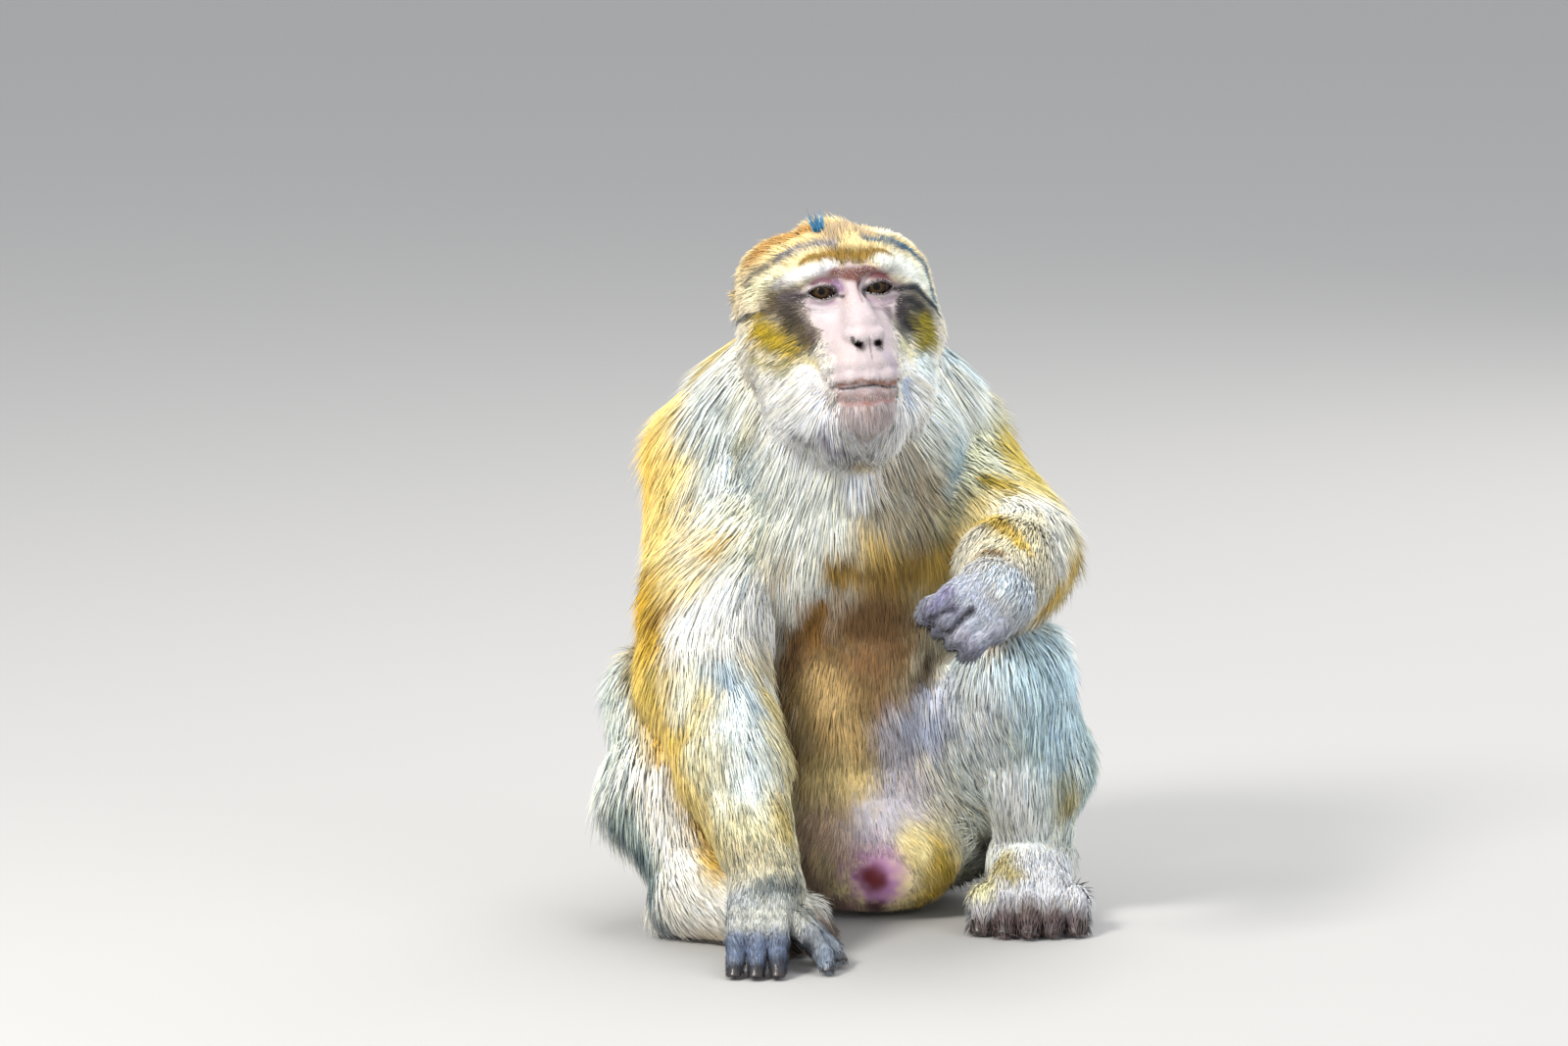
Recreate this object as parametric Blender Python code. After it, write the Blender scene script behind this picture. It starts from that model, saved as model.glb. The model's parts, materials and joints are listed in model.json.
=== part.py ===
"""Life-size still model of a seated Barbary macaque, out to the tips of its coat.

The frame: +X is the animal's left, -Y the way it faces, +Z up, the floor is Z = 0, and the
origin lies on the floor under the rump. Lengths are metres.

The body is modelled as the trunk with the head, two arms, two legs and two feet. Each form
is a set of overlapping balls and tapered limbs, made one smooth skin by a voxel Remesh and a
Smooth, and thinned by a Decimate. The forms are then fitted to each other and parted at the
joints by thin cuts.
"""

import math

import bmesh
import bpy
from mathutils import Euler, Matrix, Vector

# ---------------------------------------------------------------- sizes that drive the model
GAP = 0.0003                  # between two parts that meet
FLOOR = 0.0
VOXEL_BODY = 0.0045
VOXEL_HAND = 0.0022
VOXEL_FACE = 0.0020
INSTEP = 0.012                # the foot begins this far above the ankle's centre
ANKLE_LEAN = 0.35             # and the cut there rises this much for each unit ahead
FLATNESS = math.radians(2.0)  # facets that meet at less than this are one flat stretch

# Joint centres.
HIP = {"left": Vector((0.052, 0.034, 0.078)), "right": Vector((-0.056, 0.036, 0.078))}
KNEE = {"left": Vector((0.106, -0.076, 0.182)), "right": Vector((-0.140, -0.042, 0.156))}
ANKLE = {"left": Vector((0.118, -0.014, 0.038)), "right": Vector((-0.114, -0.110, 0.036))}
TOES = {"left": Vector((0.114, -0.110, 0.012)), "right": Vector((-0.036, -0.158, 0.012))}
SHOULDER = {"left": Vector((0.050, 0.040, 0.312)), "right": Vector((-0.094, 0.004, 0.316))}
ELBOW = {"left": Vector((0.108, -0.064, 0.262)), "right": Vector((-0.110, -0.080, 0.182))}
WRIST = {"left": Vector((0.088, -0.206, 0.254)), "right": Vector((-0.063, -0.174, 0.050))}

# The coat's outer radius at the shoulder, elbow, middle of the forearm and wrist.
ARM_RADII = {"left": (0.052, 0.038, 0.037, 0.030), "right": (0.052, 0.044, 0.040, 0.030)}

HIP_RADIUS, KNEE_RADIUS, CALF_RADIUS, ANKLE_RADIUS = 0.070, 0.036, 0.044, 0.029
FINGER = (0.0105, 0.0088)           # radius at a finger's base and at its tip
STRAIGHT = (Vector((0, 0, 0)), Vector((0, 0, 0)))   # a finger that isn't spread from its base

# Where the trunk is parted: a point of each cut and its normal.
WAIST = (Vector((0, 0.03, 0.115)), Vector((0, -0.25, 1.0)))
RIBS_END = (Vector((0, 0, 0.215)), Vector((0, 0.10, 1.0)))
NECK_ROOT = (Vector((-0.014, 0.02, 0.335)), Vector((0, -0.42, 0.90)))

# The head's own frame: its origin is midway between the eyeballs, -Y is the way it faces.
HEAD_ORIGIN = Vector((-0.010, -0.104, 0.4470))
HEAD_TURN = Euler((math.radians(-9.0), math.radians(-3.0), math.radians(14.0)))
EYE_RADIUS = 0.0098
EYE_SPACING = 0.0385
LID_OPENING = (0.0090, 0.0048)      # half width and half height
EAR_PLACE = (64, 55, -8)            # millimetres in the head's own frame
EAR_RADII = (5.5, 11, 15)
EAR_HOLLOW = (5.0, 7.5, 10.5)
# The boxes that hold the muzzle and the lower jaw, in millimetres of the head's own frame.
FACE_BOXES = (
    ("muzzle", (-29, -90, -63), (29, -16, -17)),
    ("lower_jaw", (-29, -90, -130), (29, -8, -63.3)),
)


def in_head(x, y, z):
    """World place of a point of the head's own frame, given in millimetres."""
    return HEAD_ORIGIN + HEAD_TURN.to_matrix() @ (Vector((x, y, z)) * 0.001)


# ---------------------------------------------------------------- shells
def ball(bm, centre, radii, turn=(0.0, 0.0, 0.0)):
    """An ellipsoid; turn is in degrees."""
    rotation = Euler([math.radians(a) for a in turn]).to_quaternion()
    place = Matrix.LocRotScale(Vector(centre), rotation, Vector(radii))
    bmesh.ops.create_icosphere(bm, subdivisions=3, radius=1.0, matrix=place)


def head_ball(bm, centre, radii, turn=(0.0, 0.0, 0.0), fineness=3):
    """An ellipsoid given in millimetres in the head's own frame."""
    rotation = HEAD_TURN.to_quaternion() @ Euler([math.radians(a) for a in turn]).to_quaternion()
    place = Matrix.LocRotScale(in_head(*centre), rotation, Vector(radii) * 0.001)
    bmesh.ops.create_icosphere(bm, subdivisions=fineness, radius=1.0, matrix=place)


def limb(bm, start, end, start_radius, end_radius):
    """The hull of two balls: a limb that tapers."""
    hull = bmesh.new()
    for centre, radius in ((start, start_radius), (end, end_radius)):
        place = Matrix.Translation(Vector(centre))
        bmesh.ops.create_icosphere(hull, subdivisions=3, radius=radius, matrix=place)
    bmesh.ops.delete(hull, geom=hull.faces[:], context="FACES_ONLY")
    made = bmesh.ops.convex_hull(hull, input=hull.verts[:])
    inside = [g for g in made["geom_interior"] if isinstance(g, bmesh.types.BMVert)]
    bmesh.ops.delete(hull, geom=inside, context="VERTS")
    mesh = bpy.data.meshes.new("hull")
    hull.to_mesh(mesh)
    hull.free()
    bm.from_mesh(mesh)
    bpy.data.meshes.remove(mesh)


def digit(bm, points, base_radius, tip_radius):
    """A finger or toe: short limbs from point to point, thinning to its tip."""
    steps = len(points) - 1
    for i in range(steps):
        radii = [base_radius + (tip_radius - base_radius) * t / steps for t in (i, i + 1)]
        limb(bm, points[i], points[i + 1], *radii)


# ---------------------------------------------------------------- the forms
def trunk_shells(bm):
    """Rump, belly, chest, the mantle over the shoulders, and the throat."""
    ball(bm, (-0.002, 0.028, 0.074), (0.088, 0.098, 0.086))
    ball(bm, (0.008, -0.034, 0.046), (0.066, 0.050, 0.050))
    ball(bm, (-0.004, 0.030, 0.150), (0.088, 0.100, 0.095), (8, 0, 0))
    ball(bm, (-0.010, 0.030, 0.235), (0.102, 0.100, 0.095), (8, 0, 0))
    ball(bm, (-0.018, 0.034, 0.292), (0.112, 0.088, 0.086))
    ball(bm, (-0.018, 0.010, 0.352), (0.096, 0.078, 0.066), (-20, 0, 0))
    ball(bm, (-0.008, -0.044, 0.290), (0.070, 0.050, 0.080))
    ball(bm, (-0.010, -0.048, 0.345), (0.070, 0.052, 0.055))


def head_shells(bm):
    """Cranium, brow, cheek ruff, muzzle and jaw, in millimetres of the head's own frame."""
    head_ball(bm, (0, 48, 2), (64, 60, 43.5))
    head_ball(bm, (0, 14, 22), (46, 26, 20))
    head_ball(bm, (0, 8, 0), (45, 15, 20))
    head_ball(bm, (0, 26, -50), (56, 50, 50))
    head_ball(bm, (0, 2, -86), (43, 38, 32))
    for side in (-1, 1):
        head_ball(bm, (side * 36, 44, 6), (33, 44, 32))
        head_ball(bm, (side * 45, 30, -18), (29, 40, 42), (0, side * -8, 0))
        head_ball(bm, (side * 35, 12, -54), (27, 34, 36))
        head_ball(bm, (side * 23, -3, -21), (16, 14, 16))
        limb(bm, in_head(0, -3, 14), in_head(side * 30, -2, 14), 0.0080, 0.0085)
        limb(bm, in_head(side * 30, -2, 14), in_head(side * 41, 8, 6), 0.0085, 0.0080)
    limb(bm, in_head(0, -1, 4), in_head(0, -36, -29), 0.0075, 0.0105)
    limb(bm, in_head(0, -6, -30), in_head(0, -27, -52), 0.0250, 0.0215)
    head_ball(bm, (0, -31, -54), (23.5, 19, 13))
    head_ball(bm, (0, -25, -76), (22, 21, 20))


def arm_shells(bm, side):
    """Upper arm and forearm; the hand is added by its own function."""
    middle = ELBOW[side].lerp(WRIST[side], 0.45)
    shoulder_radius, elbow_radius, middle_radius, wrist_radius = ARM_RADII[side]
    limb(bm, SHOULDER[side], ELBOW[side], shoulder_radius, elbow_radius)
    limb(bm, ELBOW[side], middle, elbow_radius, middle_radius)
    limb(bm, middle, WRIST[side], middle_radius, wrist_radius)


def fingers(bm, base, spread, first, second, radii):
    """Like fingers side by side: each base is shifted by spread, and bends once on its way."""
    for across, toward in spread:
        start = base + across
        digit(bm, [start, start + first + toward, start + second + toward], *radii)


def right_hand_shells(bm):
    """The palm is on the floor and three fingers point forward; index and thumb point inward."""
    wrist = WRIST["right"]
    knuckles = Vector((-0.062, -0.218, 0.022))
    ball(bm, wrist.lerp(knuckles, 0.55) - Vector((0, 0, 0.003)), (0.031, 0.036, 0.026), (28, 0, 0))
    spread = [(Vector((x, 0.002, 0.004)), Vector((x * 0.1, 0, 0))) for x in (-0.022, -0.008, 0.006)]
    fingers(bm, knuckles, spread, Vector((0, -0.012, -0.004)), Vector((0, -0.024, -0.020)), FINGER)
    index = knuckles + Vector((0.019, 0.008, 0.004))
    fingers(bm, index, [STRAIGHT], Vector((0.008, -0.018, 0)), Vector((0.012, -0.029, -0.019)), FINGER)
    thumb = wrist + Vector((0.024, -0.012, -0.024))
    fingers(bm, thumb, [STRAIGHT], Vector((0.016, -0.010, -0.008)), Vector((0.022, -0.020, -0.019)), FINGER)


def left_hand_shells(bm):
    """It hangs half closed over the knee."""
    wrist = WRIST["left"]
    knuckles = Vector((0.074, -0.240, 0.246))
    ball(bm, wrist.lerp(knuckles, 0.5), (0.031, 0.030, 0.027), (0, 20, 30))
    row = (-0.018, -0.006, 0.006, 0.018)
    spread = [(Vector((x * 0.75, 0, -x * 0.75)), Vector((0, 0, x * 0.16))) for x in row]
    fingers(bm, knuckles, spread, Vector((-0.014, -0.010, -0.005)), Vector((-0.016, 0.004, -0.021)), FINGER)
    thumb = wrist + Vector((-0.022, -0.014, 0.004))
    bend, end = Vector((-0.012, -0.016, -0.006)), Vector((-0.015, -0.026, -0.016))
    fingers(bm, thumb, [STRAIGHT], bend, end, FINGER)


def calf_of(side):
    """The middle of the calf, the lower leg's thickest place."""
    outward = 0.006 if side == "left" else -0.008
    return KNEE[side].lerp(ANKLE[side], 0.5) + Vector((outward, 0.010, 0))


def ahead_of(side):
    """The level direction in which a foot points."""
    along = TOES[side] - ANKLE[side]
    return Vector((along.x, along.y, 0)).normalized()


def leg_shells(bm, side):
    """Thigh, calf and shin, down to the ankle."""
    limb(bm, HIP[side], KNEE[side], HIP_RADIUS, KNEE_RADIUS)
    limb(bm, KNEE[side], calf_of(side), KNEE_RADIUS, CALF_RADIUS)
    limb(bm, calf_of(side), ANKLE[side], CALF_RADIUS, ANKLE_RADIUS)


def foot_shells(bm, side):
    """A flat sole: shin, heel, instep and five toes that curl to the floor."""
    ankle, toes = ANKLE[side], TOES[side]
    limb(bm, calf_of(side), ankle, CALF_RADIUS, ANKLE_RADIUS)
    ahead = ahead_of(side)
    outward = Vector((-ahead.y, ahead.x, 0)) * (1 if side == "left" else -1)
    heel = ankle + ahead * -0.016 - Vector((0, 0, 0.017))
    ball_of_foot = toes - ahead * 0.028 + Vector((0, 0, 0.007))
    limb(bm, heel, ball_of_foot, 0.024, 0.022)
    for across in (-0.013, 0.013):
        limb(bm, ankle, ball_of_foot + outward * across + Vector((0, 0, 0.009)), 0.028, 0.019)
    for i in range(5):
        across = (i - 2) * 0.0150
        base = ball_of_foot + outward * across + Vector((0, 0, 0.002))
        reach = 0.030 - 0.003 * abs(i - 2)
        tip = base + ahead * reach + outward * across * 0.12 - Vector((0, 0, 0.013))
        digit(bm, [base, base.lerp(tip, 0.5) + Vector((0, 0, 0.006)), tip], 0.0125, 0.0105)


# ---------------------------------------------------------------- mesh tools
def object_of(name, bm):
    """A new object that holds the bmesh."""
    mesh = bpy.data.meshes.new(name)
    bm.to_mesh(mesh)
    bm.free()
    made = bpy.data.objects.new(name, mesh)
    bpy.context.scene.collection.objects.link(made)
    return made


def apply_modifiers(obj):
    """Makes the evaluated mesh the object's own."""
    bpy.context.view_layer.update()
    evaluated = obj.evaluated_get(bpy.context.evaluated_depsgraph_get())
    mesh = bpy.data.meshes.new_from_object(evaluated)
    obj.modifiers.clear()
    obj.data = mesh


def one_skin(obj, voxel, smoothing, triangles):
    """Overlapping shells made one smooth closed skin of about that many triangles."""
    remesh = obj.modifiers.new("skin", "REMESH")
    remesh.mode = "VOXEL"
    remesh.voxel_size = voxel
    smooth = obj.modifiers.new("soften", "SMOOTH")
    smooth.factor = 0.5
    smooth.iterations = smoothing
    apply_modifiers(obj)
    faces = 2 * len(obj.data.polygons)
    thin = obj.modifiers.new("thin", "DECIMATE")
    thin.ratio = min(1.0, triangles / faces)
    apply_modifiers(obj)


def form(name, shells, voxel, smoothing, triangles):
    """One of the forms: shells is a list of functions that add to a bmesh."""
    bm = bmesh.new()
    for add in shells:
        add(bm)
    made = object_of(name, bm)
    one_skin(made, voxel, smoothing, triangles)
    cut_off(made, (0, 0, FLOOR), (0, 0, -1))
    return made


def closed_half(bm, point, normal):
    """Removes what lies on the normal's side of a plane, and closes the cut."""
    geometry = bm.verts[:] + bm.edges[:] + bm.faces[:]
    bmesh.ops.bisect_plane(
        bm, geom=geometry, dist=1e-6, plane_co=point, plane_no=normal, clear_outer=True
    )
    open_edges = [e for e in bm.edges if e.is_boundary]
    if open_edges:
        bmesh.ops.holes_fill(bm, edges=open_edges, sides=0)
    bmesh.ops.triangulate(bm, faces=bm.faces[:])


def cut_off(obj, point, normal):
    """Cuts off what lies on the normal's side of a plane, and any crumb that this leaves."""
    bm = bmesh.new()
    bm.from_mesh(obj.data)
    closed_half(bm, Vector(point), Vector(normal))
    largest_shell(bm)
    bm.to_mesh(obj.data)
    bm.free()


def largest_shell(bm):
    """Deletes every loose crumb and keeps the largest shell."""
    left = set(bm.faces)
    shells = []
    while left:
        shell, edge = set(), [left.pop()]
        while edge:
            face = edge.pop()
            shell.add(face)
            near = {f for e in face.edges for f in e.link_faces} & left
            left -= near
            edge += near
        shells.append(shell)
    shells.sort(key=len)
    crumbs = [f for shell in shells[:-1] for f in shell]
    bmesh.ops.delete(bm, geom=crumbs, context="FACES")
    loose = [v for v in bm.verts if not v.link_faces]
    bmesh.ops.delete(bm, geom=loose, context="VERTS")


def keep_largest(obj):
    """Keeps the largest shell and merges the slivers that a Boolean leaves on flat stretches."""
    bm = bmesh.new()
    bm.from_mesh(obj.data)
    largest_shell(bm)
    bmesh.ops.dissolve_limit(bm, angle_limit=FLATNESS, verts=bm.verts[:], edges=bm.edges[:])
    bmesh.ops.triangulate(bm, faces=bm.faces[:])
    bm.to_mesh(obj.data)
    bm.free()


def grown(obj, by):
    """A cutter: a copy of obj, larger by that much all round."""
    bm = bmesh.new()
    bm.from_mesh(obj.data)
    bm.normal_update()
    moves = [(v, v.normal * by) for v in bm.verts]
    for vertex, move in moves:
        vertex.co += move
    return as_cutter(object_of(obj.name + "_cutter", bm))


def as_cutter(obj):
    obj.hide_render = True
    obj.display_type = "WIRE"
    return obj


def subtract(obj, cutter):
    """Takes the cutter's shape out of obj and keeps the largest piece."""
    boolean = obj.modifiers.new("fit", "BOOLEAN")
    boolean.operation = "DIFFERENCE"
    boolean.object = cutter
    apply_modifiers(obj)
    keep_largest(obj)


def split(obj, point, normal, far_name):
    """Parts obj with a thin flat cut. The piece on the normal's side is returned, named far_name."""
    normal = Vector(normal).normalized()
    far = bmesh.new()
    far.from_mesh(obj.data)
    closed_half(far, point + normal * GAP / 2, -normal)
    largest_shell(far)
    near = bmesh.new()
    near.from_mesh(obj.data)
    closed_half(near, point - normal * GAP / 2, normal)
    largest_shell(near)
    near.to_mesh(obj.data)
    near.free()
    return object_of(far_name, far)


def bend_plane(before, joint, after):
    """The normal of the plane that halves the bend at a joint."""
    return (joint - before).normalized() + (after - joint).normalized()


# ---------------------------------------------------------------- parts of the face
def head_box(name, low, high):
    """A cutter box in the head's own frame, in millimetres."""
    bm = bmesh.new()
    bmesh.ops.create_cube(bm, size=1.0)
    size = [high[i] - low[i] for i in range(3)]
    middle = [(high[i] + low[i]) / 2 for i in range(3)]
    place = Matrix.LocRotScale(in_head(*middle), HEAD_TURN.to_quaternion(), Vector(size) * 0.001)
    bmesh.ops.transform(bm, matrix=place, verts=bm.verts[:])
    return as_cutter(object_of(name, bm))


def eye_and_socket(head_node, side, name):
    """An eyeball in its socket, seen through an almond opening between the lids."""
    x = side * EYE_SPACING * 500
    centre = in_head(x, 0, 0)
    bm = bmesh.new()
    bmesh.ops.create_icosphere(bm, subdivisions=3, radius=EYE_RADIUS, matrix=Matrix.Translation(centre))
    eye = object_of(name, bm)
    eye.data.shade_smooth()
    window = bmesh.new()
    bmesh.ops.create_cone(window, cap_ends=True, segments=24, radius1=1.0, radius2=1.0, depth=1.0)
    upright = Euler((math.radians(90), 0, 0)).to_quaternion()
    half_width, half_height = LID_OPENING
    place = Matrix.LocRotScale(
        in_head(x, -23, 0), HEAD_TURN.to_quaternion() @ upright, Vector((half_width, half_height, 0.040))
    )
    bmesh.ops.transform(window, matrix=place, verts=window.verts[:])
    subtract(head_node, as_cutter(object_of(name + "_window", window)))
    socket = bmesh.new()
    bmesh.ops.create_icosphere(
        socket, subdivisions=3, radius=EYE_RADIUS + GAP, matrix=Matrix.Translation(centre)
    )
    subtract(head_node, as_cutter(object_of(name + "_socket", socket)))
    return eye


def ear(side, name):
    """A small round ear that stands out of the fur: a thick leaf with a hollow on its outer side."""
    bm = bmesh.new()
    middle = Vector((side * EAR_PLACE[0], EAR_PLACE[1], EAR_PLACE[2]))
    lean = (0, side * 10, side * 28)
    head_ball(bm, middle, EAR_RADII, lean, 2)
    shell = object_of(name, bm)
    hollow = bmesh.new()
    head_ball(hollow, middle + Vector((side * 6, -3, 1)), EAR_HOLLOW, lean, 2)
    subtract(shell, as_cutter(object_of(name + "_hollow", hollow)))
    return shell


# ---------------------------------------------------------------- materials
def coat(name, colour, roughness=0.9, metallic=0.0):
    """A plain Principled material."""
    material = bpy.data.materials.new(name)
    material.use_nodes = True
    shader = material.node_tree.nodes["Principled BSDF"]
    shader.inputs["Base Color"].default_value = (*colour, 1.0)
    shader.inputs["Roughness"].default_value = roughness
    shader.inputs["Metallic"].default_value = metallic
    return material


def bmesh_of(obj):
    """A bmesh copy of an object's mesh."""
    bm = bmesh.new()
    bm.from_mesh(obj.data)
    return bm


def part_face(head_node):
    """Parts the muzzle and the lower jaw from the head; returns both."""
    pieces = []
    for name, low, high in FACE_BOXES:
        box = head_box(name + "_box", low, high)
        piece = object_of(name, bmesh_of(head_node))
        boolean = piece.modifiers.new("part", "BOOLEAN")
        boolean.operation = "INTERSECT"
        boolean.object = box
        apply_modifiers(piece)
        keep_largest(piece)
        subtract(head_node, grown(box, GAP * 2))
        pieces.append(piece)
    return pieces


def main():
    for obj in list(bpy.data.objects):
        bpy.data.objects.remove(obj)
    gold = coat("golden_coat", (0.50, 0.36, 0.14))
    pale = coat("pale_coat", (0.72, 0.70, 0.62))
    dark = coat("dark_coat", (0.30, 0.28, 0.28))
    bare = coat("bare_skin", (0.80, 0.55, 0.50), 0.6)
    wet = coat("eye", (0.06, 0.04, 0.02), 0.15)
    finish = {}

    trunk = form("rump", [trunk_shells], VOXEL_BODY, 40, 950)
    head_node = form("head", [head_shells], VOXEL_FACE, 5, 1200)
    subtract(trunk, grown(head_node, GAP))
    hands = {"left": left_hand_shells, "right": right_hand_shells}
    for side in ("left", "right"):
        shoulder, elbow, wrist = SHOULDER[side], ELBOW[side], WRIST[side]
        arm_parts = [lambda bm: arm_shells(bm, side), hands[side]]
        arm = form(f"forearm_{side}", arm_parts, VOXEL_HAND, 5, 720)
        subtract(arm, grown(trunk, GAP))
        arm_cutter = grown(arm, GAP)
        hand = split(arm, wrist, wrist - elbow, f"hand_{side}")
        upper = split(arm, elbow, -bend_plane(shoulder, elbow, wrist), f"upper_arm_{side}")

        hip, knee, ankle = HIP[side], KNEE[side], ANKLE[side]
        above_foot = ankle + Vector((0, 0, INSTEP))
        down = (ahead_of(side) * ANKLE_LEAN - Vector((0, 0, 1))).normalized()
        leg = form(f"lower_leg_{side}", [lambda bm: leg_shells(bm, side)], VOXEL_HAND, 5, 350)
        foot = form(f"foot_{side}", [lambda bm: foot_shells(bm, side)], VOXEL_HAND, 5, 500)
        for piece in (leg, foot):
            subtract(piece, grown(trunk, GAP))
            subtract(piece, arm_cutter)
        thigh = split(leg, knee, -bend_plane(hip, knee, ankle), f"thigh_{side}")
        cut_off(leg, above_foot - down * GAP, down)
        cut_off(foot, above_foot, -down)
        subtract(thigh, grown(foot, GAP))
        finish.update({hand: dark, upper: gold, arm: pale, thigh: pale, leg: pale, foot: dark})

    belly = split(trunk, *WAIST, "belly")
    chest = split(belly, *RIBS_END, "chest")
    neck = split(chest, *NECK_ROOT, "neck")
    finish.update({trunk: pale, belly: gold, chest: pale, neck: pale, head_node: gold})

    for piece in part_face(head_node):
        finish[piece] = bare
    for side, name in ((1, "left"), (-1, "right")):
        finish[eye_and_socket(head_node, side, f"eye_{name}")] = wet
        leaf = ear(side, f"ear_{name}")
        subtract(leaf, grown(head_node, GAP))
        finish[leaf] = bare

    for node, material in finish.items():
        node.data.materials.clear()
        node.data.materials.append(material)


main()
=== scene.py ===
"""Looks of a life-size still model of a seated Barbary macaque.

One closed skin replaces every node of flesh. A coat of solid tufts grows on it, and the eyes and
nails are pieces of their own. The skin is the zero surface of a smooth field built from round
cones and ellipsoids. All tufts of a piece are worked out at once, as whole arrays.

Lengths are metres in the frame's own axes: +X the animal's left, -Y the way it faces, +Z up.
Places on the head are millimetres in the head's own axes, from midway between the eyeballs.
"""

import json
import logging
import math
from collections.abc import Callable
from dataclasses import dataclass, field
from enum import Enum

import bpy
import numpy as np
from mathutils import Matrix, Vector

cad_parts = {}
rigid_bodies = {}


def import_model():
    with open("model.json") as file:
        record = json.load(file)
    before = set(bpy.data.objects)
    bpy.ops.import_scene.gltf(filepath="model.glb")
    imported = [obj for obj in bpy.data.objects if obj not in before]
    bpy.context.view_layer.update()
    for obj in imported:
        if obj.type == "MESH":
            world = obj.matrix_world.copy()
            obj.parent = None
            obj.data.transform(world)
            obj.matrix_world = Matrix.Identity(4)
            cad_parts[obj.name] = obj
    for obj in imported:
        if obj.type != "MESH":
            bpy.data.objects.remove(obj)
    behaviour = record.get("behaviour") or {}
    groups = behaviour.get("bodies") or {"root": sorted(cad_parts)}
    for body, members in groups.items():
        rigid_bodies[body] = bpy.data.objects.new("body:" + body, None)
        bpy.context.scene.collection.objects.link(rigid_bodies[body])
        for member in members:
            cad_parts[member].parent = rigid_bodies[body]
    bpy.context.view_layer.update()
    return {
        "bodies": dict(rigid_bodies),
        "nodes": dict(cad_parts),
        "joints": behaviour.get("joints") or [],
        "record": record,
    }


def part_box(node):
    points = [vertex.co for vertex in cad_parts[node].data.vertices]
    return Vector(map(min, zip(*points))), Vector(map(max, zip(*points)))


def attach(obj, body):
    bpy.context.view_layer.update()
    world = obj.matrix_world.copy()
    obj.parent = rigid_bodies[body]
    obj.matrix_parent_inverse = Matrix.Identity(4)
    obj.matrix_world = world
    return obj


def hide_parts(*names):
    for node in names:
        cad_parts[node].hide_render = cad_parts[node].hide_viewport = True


LOG = logging.getLogger("macaque")
BODY = "root"
PAINT = "markings"
MM = 0.001
FLOOR_CLEARANCE = 0.0012

Array = np.ndarray
Triple = tuple[float, float, float]


# ---- small maths
def unit(vectors: Array) -> Array:
    """Each vector divided by its length; a zero vector stays zero."""
    size = np.linalg.norm(vectors, axis=-1, keepdims=True)
    return vectors / np.maximum(size, 1e-12)


def turn_matrix(degrees: Triple) -> Array:
    """The matrix that turns about X, then Y, then Z.

    Args:
        degrees: the three angles.

    Returns:
        A 3 x 3 rotation, Rz @ Ry @ Rx.
    """
    ax, ay, az = np.radians(degrees)
    about_x = np.array([[1, 0, 0], [0, math.cos(ax), -math.sin(ax)], [0, math.sin(ax), math.cos(ax)]])
    about_y = np.array([[math.cos(ay), 0, math.sin(ay)], [0, 1, 0], [-math.sin(ay), 0, math.cos(ay)]])
    about_z = np.array([[math.cos(az), -math.sin(az), 0], [math.sin(az), math.cos(az), 0], [0, 0, 1]])
    return about_z @ about_y @ about_x


def smooth_min(first: Array, second: Array, blend: float) -> Array:
    """The lesser of two distances, rounded where they are within blend of each other.

    The rounding takes away h^2 * blend / 4, where h falls from 1 to 0 as their difference grows
    from 0 to blend.

    Args:
        first: one distance at each point.
        second: the other distance.
        blend: the width of the rounding.

    Returns:
        The blended distances.
    """
    near = np.maximum(blend - np.abs(first - second), 0.0) / blend
    return np.minimum(first, second) - near * near * blend * 0.25


def smooth_step(low: float, high: float, values: Array) -> Array:
    """0 at low, 1 at high, whichever is the greater, and the cubic 3t^2 - 2t^3 between."""
    t = np.clip((values - low) / (high - low), 0.0, 1.0)
    return t * t * (3.0 - 2.0 * t)


def lattice_hash(places: Array, seed: int) -> Array:
    """A repeatable number from 0 to 1 for each whole-number place.

    Args:
        places: N x 3 whole numbers.
        seed: chooses the pattern.

    Returns:
        N numbers.
    """
    ix, iy, iz = places.T
    mixed = (ix * 73856093) ^ (iy * 19349663) ^ (iz * 83492791) ^ (seed * 2654435761)
    mixed = (mixed ^ (mixed >> 13)) * 1274126177
    return ((mixed ^ (mixed >> 16)) & 0xFFFFFF) / float(0xFFFFFF)


def value_noise(points: Array, cell: float, seed: int) -> Array:
    """Smooth noise from -1 to 1: hashed corner values, blended by smooth steps across each cell.

    Args:
        points: N x 3 places.
        cell: the width of a cell, in the same unit.
        seed: chooses the pattern.

    Returns:
        N values.
    """
    scaled = points / cell
    base = np.floor(scaled).astype(np.int64)
    part = scaled - base
    part = part * part * (3.0 - 2.0 * part)
    total = np.zeros(len(points))
    for corner in range(8):
        step = np.array([corner & 1, (corner >> 1) & 1, (corner >> 2) & 1])
        share = np.prod(np.where(step, part, 1.0 - part), axis=1)
        total += share * lattice_hash(base + step, seed)
    return total * 2.0 - 1.0


def noise_vectors(points: Array, cell: float, seed: int) -> Array:
    """Three noises as the coordinates of a vector at each point."""
    return np.stack([value_noise(points, cell, seed + i) for i in range(3)], axis=1)


def along_skin(vectors: Array, normals: Array) -> Array:
    """What is left of each vector when its part along the normal is taken away."""
    return vectors - normals * (vectors * normals).sum(axis=1, keepdims=True)


def raised(flow: Array, normals: Array, angle: Array) -> Array:
    """The flow turned up from the skin by an angle at each point."""
    return flow * np.cos(angle)[:, None] + normals * np.sin(angle)[:, None]


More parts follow.
